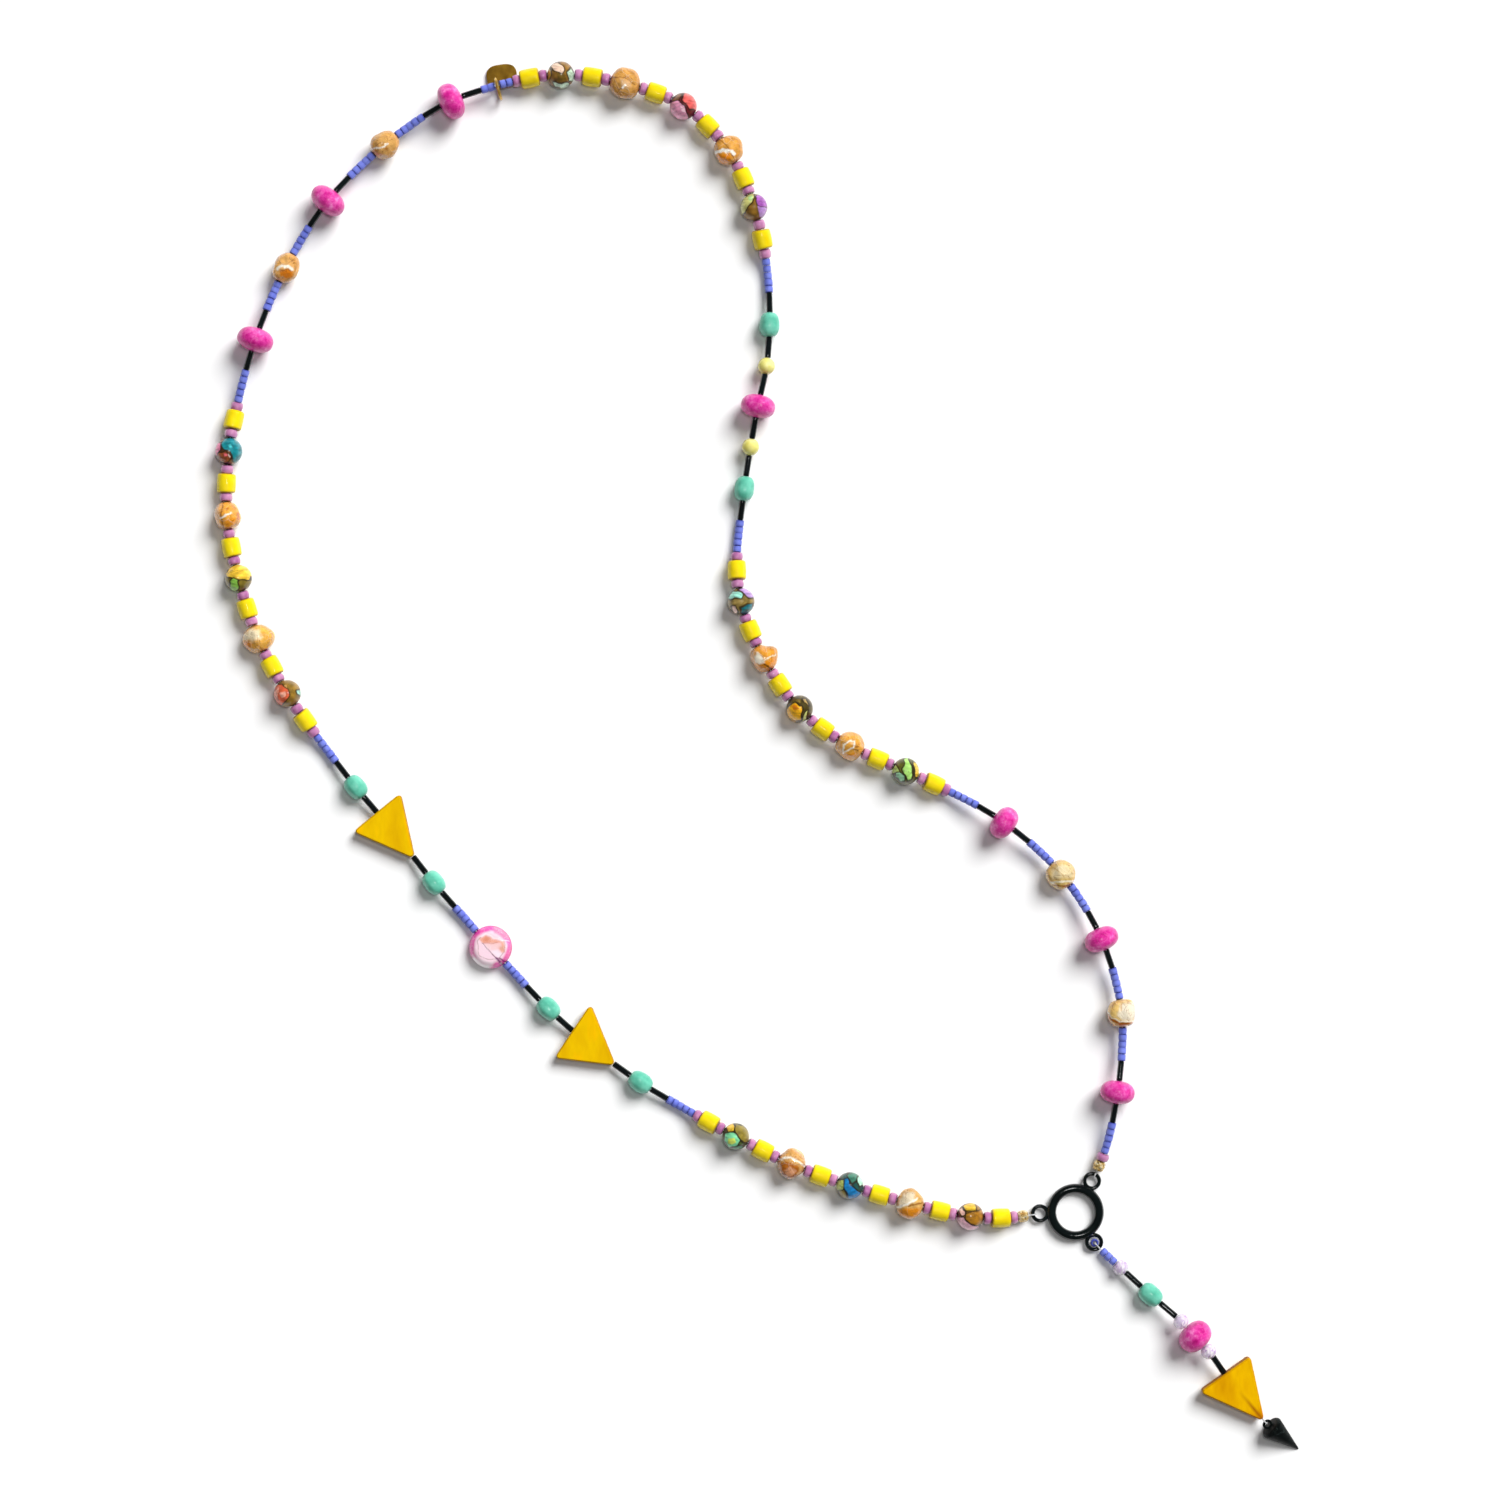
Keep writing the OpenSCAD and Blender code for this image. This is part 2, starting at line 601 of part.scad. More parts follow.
// Arc round the corner p of an outline, between its neighbours before and after it
function corner(p, before, after, r, inset) =
    let (
        u = unit(before - p),
        v = unit(after - p),
        half = acos(u * v) / 2,
        middle = p + unit(u + v) * r / sin(half),
        a = atan2(-(u + v)[1], -(u + v)[0])
    )
    [for (k = [-2:2]) middle + (r - inset) * [cos(a + k * (90 - half) / 2), sin(a + k * (90 - half) / 2)]];
// Outline of a plate in its own width and length, with the apex rounded back to its altitude
function plate_outline(i, inset) =
    let (
        row = TRIANGLES[i],
        side = row[3],
        half_w = row[1] / 2,
        slant = half_w * tan(row[2]),
        cut = PLATE_CORNER * (1 / sin(atan(half_w / row[0])) - 1),
        apex = [0, side * (row[0] / 2 + cut)],
        first = [-side * half_w, -side * (row[0] / 2 + side * slant)],
        last = [side * half_w, -side * (row[0] / 2 - side * slant)]
    )
    concat(
        corner(apex, last, first, PLATE_CORNER, inset),
        corner(first, apex, last, PLATE_CORNER, inset),
        corner(last, first, apex, PLATE_CORNER, inset)
    );
function plate_ring(i, x, inset) = [for (p = plate_outline(i, inset)) [x, p[0], p[1]]];
module shell_triangle(i) {
    half_t = plate_t / 2;
    rings = [
        plate_ring(i, -half_t, PLATE_CHAMFER),
        plate_ring(i, PLATE_CHAMFER - half_t, 0),
        plate_ring(i, half_t - PLATE_CHAMFER, 0),
        plate_ring(i, half_t, PLATE_CHAMFER),
    ];
    color("gold")
        one_bead("v", i)
            difference() {
                capped(rings);
                bore(3 * disc_d);
            }
}

module shell_disc() {
    half = concat(
        [[disc_table_d / 2, disc_t / 2]],
        [for (step = DISC_BEVEL) [disc_d / 2 - step[0], disc_t * step[1]]]
    );
    profile = concat(
        [[0, disc_t / 2]],
        half,
        [[disc_d / 2, 0]],
        [for (k = [2:-1:0]) [half[k][0], -half[k][1]]],
        [[0, -disc_t / 2]]
    );
    color("pink")
        one_bead("d", 0)
            difference() {
                rotate([0, 90, 0]) rotate_extrude($fn = 48) polygon(profile);
                bore(2 * disc_d);
            }
}

module torus(r, wire) rotate_extrude($fn = 48) translate([r, 0]) circle(d = wire, $fn = 24);
module connector_ring() {
    color([0.07, 0.1, 0.1]) {
        translate(lift(RING_AT, ring_z)) torus((ring_d - ring_bar) / 2, ring_bar);
        for (i = [0:2])
            translate(lift(eyelet_at(i), ring_z)) torus(eyelet_r, eyelet_wire);
    }
}

// The jump ring stands on the floor across the string. The tag leans on its lower part.
jump_bead = [for (i = [0:bead_n - 1]) if (kinds[i] == "j") i][0];
jump_way = bead_way(jump_bead);
jump_right = [jump_way[1], -jump_way[0]];
jump_yaw = atan2(jump_way[1], jump_way[0]);
jump_at = flat(bead_start(jump_bead) + bead_end(jump_bead)) / 2 + JUMP_SIDE * jump_right;
module jump_ring() {
    color("goldenrod")
        translate(lift(jump_at, jump_d / 2))
            rotate([0, 90, jump_yaw])
                torus(jump_r, jump_wire);
}
// A plain rounded shield that slopes away from its hole down to the floor
function rounded_side(t) = sign(t) * pow(abs(t), TAG_POWER);
module tag() {
    outline = [for (a = [5:10:355]) [tag_w / 2 * rounded_side(cos(a)), tag_h / 2 * rounded_side(sin(a))]];
    color("darkgoldenrod")
        translate(lift(jump_at - TAG_SIDE * jump_right, TAG_HOLE_Z))
            rotate([-TAG_SLOPE, 0, jump_yaw])
                linear_extrude(tag_t, center = true)
                    difference() {
                        translate(TAG_MIDDLE) rotate(TAG_TURN) polygon(outline);
                        circle(TAG_HOLE_R, $fn = 24);
                    }
}

module spike() {
    r = spike_d / 2;
    profile = [
        [0, 0],
        [r - SPIKE_EDGE, 0],
        [r, SPIKE_EDGE],
        [SPIKE_TIP_R, spike_len - SPIKE_EDGE],
        [0, spike_len],
    ];
    color([0.06, 0.09, 0.09])
        translate(lift(SPIKE_AT, spike_z))
            rotate([0, 90 + spike_tilt, SPIKE_DIR]) {
                rotate_extrude($fn = 48) polygon(profile);
                translate([0, 0, -EYE_ARM]) rotate([0, 90, 0]) torus(EYE_R, eye_wire);
            }
}

// How many stones there are of each kind
MOSAICS = 12;
AMBERS = len(NUGGETS);
PINKS = len(RONDELLES);
BARRELS = 7;
PLATES = len(TRIANGLES);
function numbered(name, n) = [for (i = [1:n]) str(name, i)];

connector_ring();
thread();
drop_thread();
end_beads();
rocailles();
yellow_cylinders();
bugles();
pale_rounds();
drop_crystals();
seed_strands();
shell_disc();
tag();
jump_ring();
spike();
for (i = [1:MOSAICS]) mosaic_bead(i - 1);
for (i = [1:AMBERS]) amber_nugget(i - 1);
for (i = [1:PINKS]) pink_rondelle(i - 1);
for (i = [1:BARRELS]) turquoise_barrel(i - 1);
for (i = [1:PLATES]) shell_triangle(i - 1);
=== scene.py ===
import json
import math

import bpy
import numpy as np
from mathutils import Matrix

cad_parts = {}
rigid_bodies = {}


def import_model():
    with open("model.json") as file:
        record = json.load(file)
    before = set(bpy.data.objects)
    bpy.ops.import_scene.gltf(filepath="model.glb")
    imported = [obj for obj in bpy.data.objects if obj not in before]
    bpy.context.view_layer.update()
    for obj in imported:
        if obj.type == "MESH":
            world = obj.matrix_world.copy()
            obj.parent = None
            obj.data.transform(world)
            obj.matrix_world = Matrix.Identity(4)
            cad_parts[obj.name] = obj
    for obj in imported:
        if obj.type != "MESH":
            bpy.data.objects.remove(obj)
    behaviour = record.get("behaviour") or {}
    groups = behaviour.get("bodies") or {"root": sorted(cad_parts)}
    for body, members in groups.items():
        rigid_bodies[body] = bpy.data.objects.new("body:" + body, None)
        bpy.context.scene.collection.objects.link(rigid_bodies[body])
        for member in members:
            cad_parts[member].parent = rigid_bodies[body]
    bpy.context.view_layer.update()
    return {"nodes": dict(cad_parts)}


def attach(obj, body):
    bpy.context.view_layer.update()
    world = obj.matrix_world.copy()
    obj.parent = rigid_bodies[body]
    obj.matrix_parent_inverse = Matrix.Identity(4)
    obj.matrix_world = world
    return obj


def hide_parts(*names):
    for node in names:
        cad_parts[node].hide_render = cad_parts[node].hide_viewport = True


for startupObject in list(bpy.data.objects):
    bpy.data.objects.remove(startupObject)
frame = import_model()
nodes = frame["nodes"]
mm = 0.001  # lengths are in millimetres until they go into a mesh or a node; the studio's are in metres


# the strand: the same chart of stones and small beads as the part's source

strand = {
    "bore": 1.1,
    "gap": 0.2,
    "droop": 0.15,  # most that the thread falls over each millimetre
    "steps": 8,  # points on the curve between two stones
    "ringAt": (81.9, -117),
    "ringDiameter": 14.6,
    "eyeletDiameter": 4.74,
    "eyeletLetIn": 0.6,  # how far an eyelet is let into the ring's bar
    "eyeletTurns": (62, 182, 302),  # top, left, lower
    "ringZ": 1.2,
    # letter: length on the thread, resting height
    "beads": {"s": (1.46, 1.05), "b": (4.8, 0.8), "m": (1.62, 1.6), "y": (4.8, 2.45), "g": (2.7, 1.55),
              "x": (3.4, 2.05), "t": (6.2, 2.6), "d": (11, 2), "j": (1.2, 3.8)},
    "paleBead": 4.4,
    "mosaicBead": 6.9,
    "plateRest": 1.5,
    "eyeRest": 2.2,
}
# each stone: letter, x, y, and the small beads after it
loopChart = """g 68.4 -118 mym|k 54.8 -118 mym|a 39.4 -114.5 mym|k 24 -110 mym|a 9 -104.5 mym
k -5.2 -97.4 mymsssssb|t -29.6 -83.6 b|v -41.9 -74.8 b|t -53.2 -64.7 bsssss|d -68 -49 sssssb
t -82.5 -32.5 b|v -92.5 -20 b|t -102.5 -8 bsssssmym|k -120 16 mym|a -127.5 30 mym
k -132.5 45.5 mym|a -135.5 61.5 mym|k -135 78 mymsssssb|p -128 106.5 bsssss|a -120.5 125 sssssb
p -109.5 142 bsssss|a -95 156.5 sssssb|p -78 167.5 bss|j -66.2 171.6 ssmym|k -50 174.5 mym
a -33.5 172 mym|k -18.5 166.5 mym|a -7 155 mym|k -0.5 140.5 mymsssssb|t 3.5 110.5 b
c 2.7 99.8 b|p 0.5 89.5 b|c -1.4 79.1 b|t -3 68.5 bsssssmym|k -4 39.5 mym
a 2 25 mym|k 11 12 mym|a 24 2.5 mym|k 38.3 -3.9 mymsssssb|p 63.5 -17 bsssss
a 78.2 -30.2 sssssb|p 88.4 -46.8 bsssss|a 93.6 -65.8 sssssb|p 92.5 -86 bsssssm|g 88 -105"""
dropChart = """s 89.1 -127.2 ss|x 93.4 -131.1 b|t 101 -138 b|x 108.8 -144.7|p 112.3 -148.5
x 115.8 -152.3 b|v 124.3 -164.3"""
# amber nuggets: length on the thread, width, height, turn of the lumps
nuggetSizes = [(6.9, 8.8, 7.6, 10), (7.1, 8.6, 7.8, 70), (7, 9.2, 7.4, 130), (7, 7.9, 7.6, 200),
               (7.6, 7.2, 7.4, 260), (7.3, 7.7, 7.6, 320), (7.6, 8.8, 7.8, 40), (7.2, 8.4, 7.8, 100),
               (7, 8.2, 7.6, 160), (7.1, 8.1, 7.8, 220), (7.2, 8.2, 7.6, 290), (7.1, 8.4, 7.6, 350)]
nuggetHollows = (0.1, 0.08)  # depth of its three-sided and its two-sided hollow, as shares of the radius
# pink rondelles: length on the thread, diameter
rondelleSizes = [(6, 9.2), (6, 9.2), (5.9, 9.2), (5.8, 8.6), (5.9, 8.5), (5.8, 8.7), (5.8, 8.7), (6.6, 8.7)]
# shell plates: altitude
plateSizes = [13.5, 14.6, 15.2]
boreRadius = strand["bore"] / 2


def signedPower(v, power):
    return np.sign(v) * np.abs(v) ** power


def nuggetSurface(size, sides, rings, across=0.75, along=0.85):
    # an oval ball: width and height set the radius across the thread, less a hollow that is the sum
    # of a three-sided and a two-sided cosine round the thread, times cos(t)^across along it
    length, width, height, turn = size
    t = np.radians(np.linspace(-90, 90, rings + 1))[:, None]
    a = np.radians(np.arange(sides) * 360 / sides)[None, :]
    turn = math.radians(turn)
    hollow = (nuggetHollows[0] * (1 - np.cos(3 * a + turn)) / 2
              + nuggetHollows[1] * (1 - np.cos(2 * a + 2 * turn + t)) / 2)
    out = np.clip(np.cos(t), 0, 1) ** across * (1 - hollow)
    x = np.cos(a) * (boreRadius + (height / 2 - boreRadius) * out)
    y = np.sin(a) * (boreRadius + (width / 2 - boreRadius) * out)
    z = length / 2 * signedPower(np.sin(t), along) + 0 * a
    return np.stack([x, y, z], -1)


def solidNugget(number):
    # the nugget of the part's source, with its ten sides and seven steps along the thread
    return nuggetSurface(nuggetSizes[number], 10, 7)


def readChart(text):
    rows = []
    for line in text.replace("\n", "|").split("|"):
        words = line.split()
        rows.append((words[0], float(words[1]), float(words[2]), words[3] if len(words) > 3 else ""))
    return rows


loopRows, dropRows = readChart(loopChart), readChart(dropChart)
letters = [c for row in loopRows + dropRows for c in row[0] + row[3]]
numbers = [letters[:i].count(c) for i, c in enumerate(letters)]
loopCount = sum(1 + len(row[3]) for row in loopRows)


def beadLength(letter, number):
    if letter in "ck":
        diameter = strand["paleBead" if letter == "c" else "mosaicBead"]
        return math.sqrt(diameter ** 2 - strand["bore"] ** 2)
    if letter in "apv":
        return (nuggetSizes[number][0] if letter == "a" else
                rondelleSizes[number][0] if letter == "p" else plateSizes[number])
    return strand["beads"][letter][0]


def beadRest(letter, number):
    if letter in "ck":
        return strand["paleBead" if letter == "c" else "mosaicBead"] / 2
    if letter == "a":
        return solidNugget(number)[..., 0].max()
    if letter == "p":
        return rondelleSizes[number][1] / 2
    if letter == "v":
        return strand["plateRest"]
    return strand["beads"][letter][1]


def smoothCurve(points):
    # cubic between each two points, with the mean direction of its neighbours at each
    p = np.array(points)
    d = np.linalg.norm(np.diff(p, axis=0), axis=1)
    u = np.diff(p, axis=0) / d[:, None]
    share = (d[:-1] / (d[:-1] + d[1:]))[:, None]
    tangents = np.vstack([u[:1], u[:-1] * (1 - share) + u[1:] * share, u[-1:]])
    t = (np.arange(strand["steps"]) / strand["steps"])[None, :, None]
    a, b = p[:-1, None], p[1:, None]
    ta, tb = tangents[:-1, None] * d[:, None, None], tangents[1:, None] * d[:, None, None]
    w = 3 * t ** 2 - 2 * t ** 3
    inner = a * (1 - w) + b * w + ta * t * (1 - t) ** 2 - tb * t ** 2 * (1 - t)
    return np.vstack([inner.reshape(-1, 2), p[-1:]])


def climb(own, fall):
    heights = [own[0]]
    for rest, drop in zip(own[1:], fall):
        heights.append(max(rest, heights[-1] - drop))
    return np.array(heights)


def strandJoints(rows, first, start, end, endRest):
    # the points between beads: stones keep their places, the small beads share the room between
    own = [c for row in rows for c in row[0] + row[3]]
    count = len(own)
    size = np.array([beadLength(c, numbers[first + i]) for i, c in enumerate(own)]) + strand["gap"]
    rest = [beadRest(c, numbers[first + i]) for i, c in enumerate(own)]
    floors = np.maximum(np.array([0] + rest), np.array(rest + [endRest]))
    fall = strand["droop"] * size
    z = np.maximum(climb(floors, fall), climb(floors[::-1], fall[::-1])[::-1])
    span = np.sqrt(size ** 2 - np.diff(z) ** 2)
    path = smoothCurve([start] + [row[1:3] for row in rows] + [end])
    s = np.concatenate([[0], np.cumsum(np.linalg.norm(np.diff(path, axis=0), axis=1))])
    heads = np.cumsum([0] + [1 + len(row[3]) for row in rows])[:-1]
    at = s[(np.arange(len(rows)) + 1) * strand["steps"]]
    places = [[at[0] - span[0] / 2]]
    for r in range(len(rows) - 1):
        small = span[heads[r] + 1:heads[r + 1]]
        room = at[r + 1] - at[r] - (span[heads[r]] + span[heads[r + 1]]) / 2
        extra = (room - small.sum()) / (len(small) + 1)
        steps = np.concatenate([[0], np.cumsum(small)]) + extra * (np.arange(len(small) + 1) + 0.5)
        places.append(at[r] + span[heads[r]] / 2 + steps)
    places.append([at[-1] + span[-1] / 2])
    places = np.concatenate(places)
    return np.stack([np.interp(places, s, path[:, 0]), np.interp(places, s, path[:, 1]), z], -1)


def eyeletAt(i):
    turn = math.radians(strand["eyeletTurns"][i])
    arm = strand["ringDiameter"] / 2 + strand["eyeletDiameter"] / 2 - strand["eyeletLetIn"]
    return strand["ringAt"][0] + arm * math.cos(turn), strand["ringAt"][1] + arm * math.sin(turn)


# where the spike lies, the source's cone that it replaces, its eye, and its own length and rounding
spikes = {"at": (131.6, -171.6), "turn": -39.5, "base": 3.2, "edge": 0.4, "coneLength": 10.4, "coneTip": 0.3,
          "eyeArm": 0.9, "eyeRadius": 0.95, "eyeWire": 0.35, "length": 10.38, "round": 0.9, "tip": 0.28,
          "pole": 0.02, "sides": 64, "arcSteps": 8, "eyeRings": 48, "eyeSides": 20}
spikeTilt = math.atan((spikes["base"] - spikes["coneTip"]) / (spikes["coneLength"] - 2 * spikes["edge"]))
spikeTurn = math.radians(spikes["turn"])
eyeArm = spikes["eyeArm"] * math.cos(spikeTilt)
spikeEye = (spikes["at"][0] - eyeArm * math.cos(spikeTurn), spikes["at"][1] - eyeArm * math.sin(spikeTurn))
loopJoints = strandJoints(loopRows, 0, eyeletAt(1), eyeletAt(0), 0)
dropJoints = strandJoints(dropRows, loopCount, eyeletAt(2), spikeEye, strand["eyeRest"])


def beadFrame(start, end):
    # middle of a bead and its own axes: down, left of the way along the thread, and along it
    along = (end - start) / np.linalg.norm(end - start)
    left = np.array([-along[1], along[0], 0])
    left /= np.linalg.norm(left)
    return (start + end) / 2, np.array([np.cross(left, along), left, along])


fillShare = {"m": 1.0, "s": 0.3, "b": 0.3, "y": 0.12}  # share of the spare room that each small bead takes
seam = 0.08  # left open between two beads
beadPlaces = {}  # letter: list of (middle, axes, length) in stringing order
for joints, first, start in ((loopJoints, 0, 0), (dropJoints, loopCount, strand["gap"] / 2)):
    arc = np.concatenate([[0], np.cumsum(np.linalg.norm(np.diff(joints, axis=0), axis=1))])
    run = []
    for i in range(len(joints) - 1):
        letter = letters[first + i]
        length = beadLength(letter, numbers[first + i])
        if letter in fillShare:
            run.append((letter, length))
            continue
        middle = (arc[i] + arc[i + 1]) / 2
        if run:
            # small beads between two stones lengthen until they fill the room
            lengths = np.array([bead[1] for bead in run])
            shares = np.array([fillShare[bead[0]] for bead in run])
            spare = middle - length / 2 - start - lengths.sum() - seam * (len(run) + 1)
            lengths += spare * shares / shares.sum()
            heads = start + seam + np.concatenate([[0], np.cumsum(lengths + seam)[:-1]])
            ends = [np.stack([np.interp(s, arc, joints[:, k]) for k in range(3)], -1)
                    for s in (heads, heads + lengths)]
            for k, bead in enumerate(run):
                beadPlaces.setdefault(bead[0], []).append((*beadFrame(ends[0][k], ends[1][k]), lengths[k]))
        beadPlaces.setdefault(letter, []).append((*beadFrame(joints[i], joints[i + 1]), length))
        run, start = [], middle + length / 2
print("strand laid:", {c: len(v) for c, v in beadPlaces.items()})


# helpers

def linear(code, alpha=1.0):
    # sRGB hex to linear red, green, blue
    values = [int(code[i:i + 2], 16) / 255 for i in (1, 3, 5)]
    return [v / 12.92 if v <= 0.04045 else ((v + 0.055) / 1.055) ** 2.4 for v in values] + [alpha]


def placed(points, place):
    return (place[0] + points @ place[1]) * mm


def gridFaces(rows, sides, first):
    # squares between the rings of a grid that closes on itself both ways, so round a bore
    i = np.arange(rows)[:, None] * sides
    j = np.roll(np.arange(rows), -1)[:, None] * sides
    k = np.arange(sides)[None, :]
    n = np.roll(np.arange(sides), -1)[None, :]
    return first + np.stack([i + k, i + n, j + n, j + k], -1).reshape(-1, 4)


def addPiece(name, grids, replaced, material, capped=0, smooth=True, paint=None):
    # puts ring grids into one mesh; each grid is (rings, points in a ring, 3), in metres, and the
    # first ones, as many as capped says, end in flat caps instead of joining their last ring to the first
    verts, faces, count = [], [], 0
    for i, grid in enumerate(grids):
        rows, sides = grid.shape[:2]
        squares = gridFaces(rows, sides, count)
        if i < capped:
            last = count + (rows - 1) * sides
            squares = [*squares[:-sides].tolist(), list(range(count, count + sides))[::-1],
                       list(range(last, last + sides))]
        faces.extend(squares)
        verts.append(grid.reshape(-1, 3))
        count += rows * sides
    mesh = bpy.data.meshes.new(name)
    mesh.from_pydata(np.vstack(verts), [], faces if capped else np.array(faces))
    mesh.polygons.foreach_set("use_smooth", np.full(len(mesh.polygons), smooth))
    if paint is not None:
        attribute = mesh.attributes.new("paint", "FLOAT_COLOR", "POINT")
        attribute.data.foreach_set("color", np.ascontiguousarray(paint, np.float32).ravel())
    mesh.validate()
    mesh.materials.append(material)
    piece = bpy.data.objects.new(name, mesh)
    bpy.context.scene.collection.objects.link(piece)
    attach(piece, "root")
    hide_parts(*replaced)
    return piece


def turnedSurface(radius, length, power, steps, sides):
    # out from the bore and back, cos and sin of t raised to a power (boxy under 1), carried round the thread
    t = np.radians(np.linspace(-90, 90, steps + 1))[:, None]
    a = np.radians(np.arange(sides) * 360 / sides)[None, :]
    r = boreRadius + (radius - boreRadius) * np.clip(np.cos(t), 0, 1) ** power
    return np.stack([r * np.cos(a), r * np.sin(a), length / 2 * signedPower(np.sin(t), power) + 0 * a], -1)


def tubeSurface(radius, length, corner, bulge, sides, sideSteps=4, arcSteps=3):
    # a flat end, a quarter circle of the corner's radius, and a side that swells by bulge times 1 - s^2
    arc = np.radians(np.linspace(-90, 0, arcSteps + 1))
    arcR = radius - bulge - corner + corner * np.cos(arc)
    arcZ = corner - length / 2 + corner * np.sin(arc)
    s = np.linspace(-1, 1, sideSteps + 1)[1:-1]
    r = np.concatenate([[boreRadius], arcR, radius - bulge * s ** 2, arcR[::-1], [boreRadius]])[:, None]
    z = np.concatenate([[-length / 2], arcZ, s * (length / 2 - corner), -arcZ[::-1], [length / 2]])[:, None]
    a = np.radians(np.arange(sides) * 360 / sides)[None, :]
    return np.stack([r * np.cos(a), r * np.sin(a), z + 0 * a], -1)


# how far the tone drifts from bead to bead and within a bead, and how full the end tone is: the end tone
# is painted shade where the beads meet
beadTones = {"between": 0.3, "within": 0.35, "end": 0.85}


def addSmallBeads(name, replaced, material, beads, places, extra=()):
    # one rounded tube per place, each a little thicker or thinner; colour drifts between two tones from
    # bead to bead and within a bead, and turns to the end tone, painted shade where the beads meet, over
    # the last part of its length
    draw = np.random.default_rng(beads["seed"])
    grids, paint = [], []
    light, deep, end = [np.array(linear(code)) for code in beads["tones"]]
    for place in [*places, *extra]:
        thickness, tone, slant = draw.uniform(-1, 1, 3)
        radius = beads["radius"] * (1 - beads["varies"] * (1 + thickness) / 2)
        shape = tubeSurface(radius, place[2], beads["corner"], beads["bulge"], beads["sides"],
                            beads.get("sideSteps", 4))
        reach = place[2] / 2 - np.abs(shape[..., 2])
        shape[..., 2] *= 1 + beads.get("slant", 0) * slant * shape[..., 1] / radius
        cloud = beadTones["within"] * lumps(shape, beads["cloud"], len(grids))
        blend = np.clip(0.5 + beadTones["between"] * tone + cloud, 0, 1)[..., None]
        # painted shade: towards each end the colour turns to the end tone, where the bead meets the next
        seamShade = beadTones["end"] * smoothStep(1 - reach / beads["seamShadeDepth"])[..., None]
        paint.append(((light * (1 - blend) + deep * blend) * (1 - seamShade) + end * seamShade).reshape(-1, 4))
        grids.append(placed(shape, place))
    addPiece(name, grids, replaced, material, paint=np.vstack(paint))


waves = {"count": 7, "finest": 0.7, "widest": 1.4, "gain": 1.8}  # the sines that make up a field of lumps


def lumps(points, size, seed):
    # smooth bumps, mostly between -1 and 1: a mean of sines along random directions, one bump per size
    draw = np.random.default_rng(seed)
    count = waves["count"]
    ways = draw.normal(size=(count, 3))
    ways *= 2 * math.pi / size / np.linalg.norm(ways, axis=1)[:, None] * draw.uniform(
        waves["finest"], waves["widest"], (count, 1))
    return np.sin(points @ ways.T + draw.uniform(0, 6.28, count)).mean(-1) * waves["gain"]


def twoLumps(points, size, seed, apart=40):
    # such bumps twice over, to bend a drawing to the right and up
    return np.stack([lumps(points, size, seed), lumps(points, size, seed + apart)], -1)


def edgeDistance(xy, corners, closed):
    # distance from each point to a row of straight strokes, negative inside where they close
    a = np.array(corners, float)
    b = np.roll(a, -1, axis=0)
    if not closed:
        a, b = (a, a) if len(a) == 1 else (a[:-1], b[:-1])
    ab = b - a
    ap = xy[:, None] - a[None]
    t = np.clip((ap * ab).sum(-1) / np.maximum((ab ** 2).sum(-1), 1e-9), 0, 1)
    d = np.linalg.norm(ap - t[..., None] * ab, axis=-1).min(1)
    if closed:
        x, y = xy[:, 0, None], xy[:, 1, None]
        crosses = (a[:, 1] > y) != (b[:, 1] > y)
        at = a[:, 0] + (y - a[:, 1]) / np.where(ab[:, 1] == 0, 1e-9, ab[:, 1]) * ab[:, 0]
        inside = (crosses & (x < at)).sum(1) % 2 == 1
        d = np.where(inside, -d, d)
    return d


def smoothStep(x):
    x = np.clip(x, 0, 1)
    return x * x * (3 - 2 * x)


def addNode(tree, kind, inputs=None, stops=(), **settings):
    # a shader node with its settings; each input is a number, a colour or another node's output, and
    # the stops of a colour ramp are (position, hex colour)
    made = tree.nodes.new("ShaderNode" + kind)
    for name, value in settings.items():
        setattr(made, name, value)
    for socket, value in (inputs or {}).items():
        if isinstance(value, bpy.types.NodeSocket):
            tree.links.new(value, made.inputs[socket])
        else:
            made.inputs[socket].default_value = value
    if stops:
        elements = made.color_ramp.elements
        while len(elements) < len(stops):
            elements.new(0.5)
        for element, (position, code) in zip(elements, stops):
            element.position = position
            element.color = linear(code)
    return made


def startMaterial(name, surface):
    # a material with one Principled shader, whose constant sockets surface gives by name, and the
    # Object coordinates that its patterns read
    material = bpy.data.materials.new(name)
    material.use_nodes = True
    tree = material.node_tree
    tree.nodes.clear()
    shader = addNode(tree, "BsdfPrincipled", surface)
    addNode(tree, "OutputMaterial", {"Surface": shader.outputs[0]})
    return material, tree, shader, addNode(tree, "TexCoord").outputs["Object"]


def clouds(tree, place, stops, sizeMm, detail=3, rough=0.5):
    # a colour that drifts between stops in blobs about sizeMm across
    noise = addNode(tree, "TexNoise", {"Vector": place, "Scale": 1 / (sizeMm * mm), "Detail": detail,
                                       "Roughness": rough})
    return addNode(tree, "ValToRGB", {0: noise.outputs["Fac"]}, stops).outputs["Color"]


def finish(tree, shader, colour, place, sizeMm, strength, depthMm, detail=3, rough=0.5):
    # gives the shader its colour, and raises the surface by depthMm in blobs about sizeMm across
    noise = addNode(tree, "TexNoise", {"Vector": place, "Scale": 1 / (sizeMm * mm), "Detail": detail,
                                       "Roughness": rough})
    raised = addNode(tree, "Bump", {"Height": noise.outputs["Fac"], "Strength": strength,
                                    "Distance": depthMm * mm})
    tree.links.new(colour, shader.inputs["Base Color"])
    tree.links.new(raised.outputs["Normal"], shader.inputs["Normal"])


